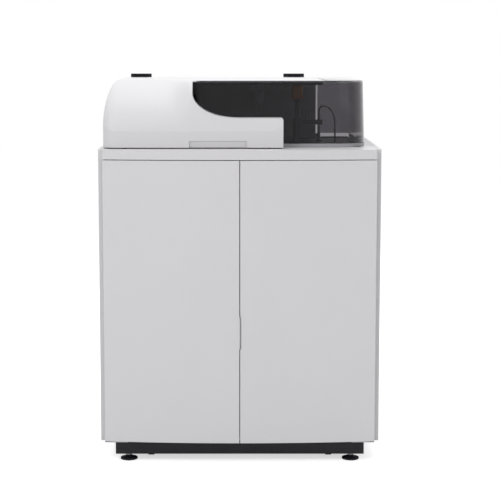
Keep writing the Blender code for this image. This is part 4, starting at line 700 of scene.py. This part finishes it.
# %% Give every node its finish
for node_name, cad_node in frame["nodes"].items():
    cad_node.data.materials.clear()
    cad_node.data.materials.append(finishes[slot_of[node_name]])
print("finished", len(frame["nodes"]), "nodes")

# %% [markdown]
# ## Floor and light
# A product picture is lit by large soft boxes: a strong one at the front left, a weaker one at the front
# right, one overhead and one behind, in a pale room. The lamps are set so that a face that looks at the
# camera shows about its written colour. The floor is pale and dull, and glows a little where it is looked
# at, so it fades into the background and still takes the object's shadow.

# %% Helper: what the eye sees directly
def looked_at(material):
    """1 on rays from the camera, also after they pass through the smoked cover, and 0 on all others."""
    light_path = add_node(material, "ShaderNodeLightPath").outputs
    return add_node(
        material, "ShaderNodeMath", {0: light_path["Is Camera Ray"], 1: light_path["Is Transmission Ray"]},
        operation="MAXIMUM",
    ).outputs[0]


# %% Floor
FLOOR_REACH = 14.0
bm = bmesh.new()
bmesh.ops.create_grid(bm, x_segments=1, y_segments=1, size=FLOOR_REACH)
floor_mesh = bpy.data.meshes.new("floor")
bm.to_mesh(floor_mesh)
bm.free()
floor = bpy.data.objects.new("floor", floor_mesh)
bpy.context.scene.collection.objects.link(floor)
floor_finish = new_finish("studio_floor", "#e6e6e6", 0.9)
floor_shader = floor_finish.node_tree.nodes["Principled BSDF"]
floor_shader.inputs["Specular IOR Level"].default_value = 0.0
FLOOR_GLOW = 0.62
seen = looked_at(floor_finish)
glow = add_node(floor_finish, "ShaderNodeMath", {0: seen, 1: FLOOR_GLOW}, operation="MULTIPLY")
floor_shader.inputs["Emission Color"].default_value = linear("#ffffff")
floor_finish.node_tree.links.new(glow.outputs[0], floor_shader.inputs["Emission Strength"])
floor.data.materials.append(floor_finish)
print("floor reaches", FLOOR_REACH, "m each way")

# %% [markdown]
# ### The room
# The world has three looks. To the eye it is plain white. To matt surfaces it is a dimmer room. In mirrors
# it is white behind the object and dim in front, so the cover's flat top takes the backdrop's white, and its
# front wall keeps its smoke. One value for all three would be simpler, but it would either grey the backdrop
# or bleach the cover.

# %% World
world = bpy.data.worlds.new("studio")
bpy.context.scene.world = world
world.use_nodes = True
background = world.node_tree.nodes["Background"]
background.inputs["Color"].default_value = linear("#ffffff")
ROOM_LIGHT = 0.50
MIRRORED_FRONT = 0.32
MIRRORED_BACK = 1.0
direction = add_node(world, "ShaderNodeTexCoord").outputs["Generated"]
forward = add_node(world, "ShaderNodeSeparateXYZ", {0: direction}).outputs["Y"]
front_to_back = {"Value": forward, "From Min": -0.2, "From Max": 0.7}
front_to_back.update({"To Min": MIRRORED_FRONT, "To Max": MIRRORED_BACK})
mirrored = add_node(world, "ShaderNodeMapRange", front_to_back)
is_mirrored = add_node(world, "ShaderNodeLightPath").outputs["Is Glossy Ray"]
unseen = {"Value": is_mirrored, "To Min": ROOM_LIGHT, "To Max": mirrored.outputs[0]}
room = add_node(world, "ShaderNodeMapRange", unseen)
all_looks = {"Value": looked_at(world), "To Min": room.outputs[0], "To Max": 1.0}
strength = add_node(world, "ShaderNodeMapRange", all_looks)
world.node_tree.links.new(strength.outputs[0], background.inputs["Strength"])
print("room light:", ROOM_LIGHT)

# %% [markdown]
# ### Soft boxes
# Each lamp is a square of over two metres, so shadows stay soft. Lamps are off in mirrors: otherwise each
# would show as a bright square in the cover, which a photographer avoids by moving them out of its sight.

# %% Lamps
def soft_box(name, place, aim, size, power):
    """A square area lamp that looks at a point."""
    lamp = bpy.data.lights.new(name, "AREA")
    lamp.shape = "SQUARE"
    lamp.size = size
    lamp.energy = power
    obj = bpy.data.objects.new(name, lamp)
    obj.visible_glossy = False
    obj.location = place
    obj.rotation_euler = (Vector(aim) - Vector(place)).to_track_quat("-Z", "Y").to_euler()
    bpy.context.scene.collection.objects.link(obj)


soft_box("key_light", (-2.4, -3.4, 3.2), (0, 0, 0.7), 2.4, 81)
soft_box("fill_light", (2.8, -3.0, 2.2), (0, 0, 0.6), 2.4, 28)
soft_box("top_light", (0.0, 0.2, 3.6), (0, 0, 1.0), 2.6, 48)
soft_box("back_light", (0.8, 3.6, 2.6), (0, 0, 0.6), 2.4, 44)
print("lamps:", [lamp.name for lamp in bpy.data.lights])
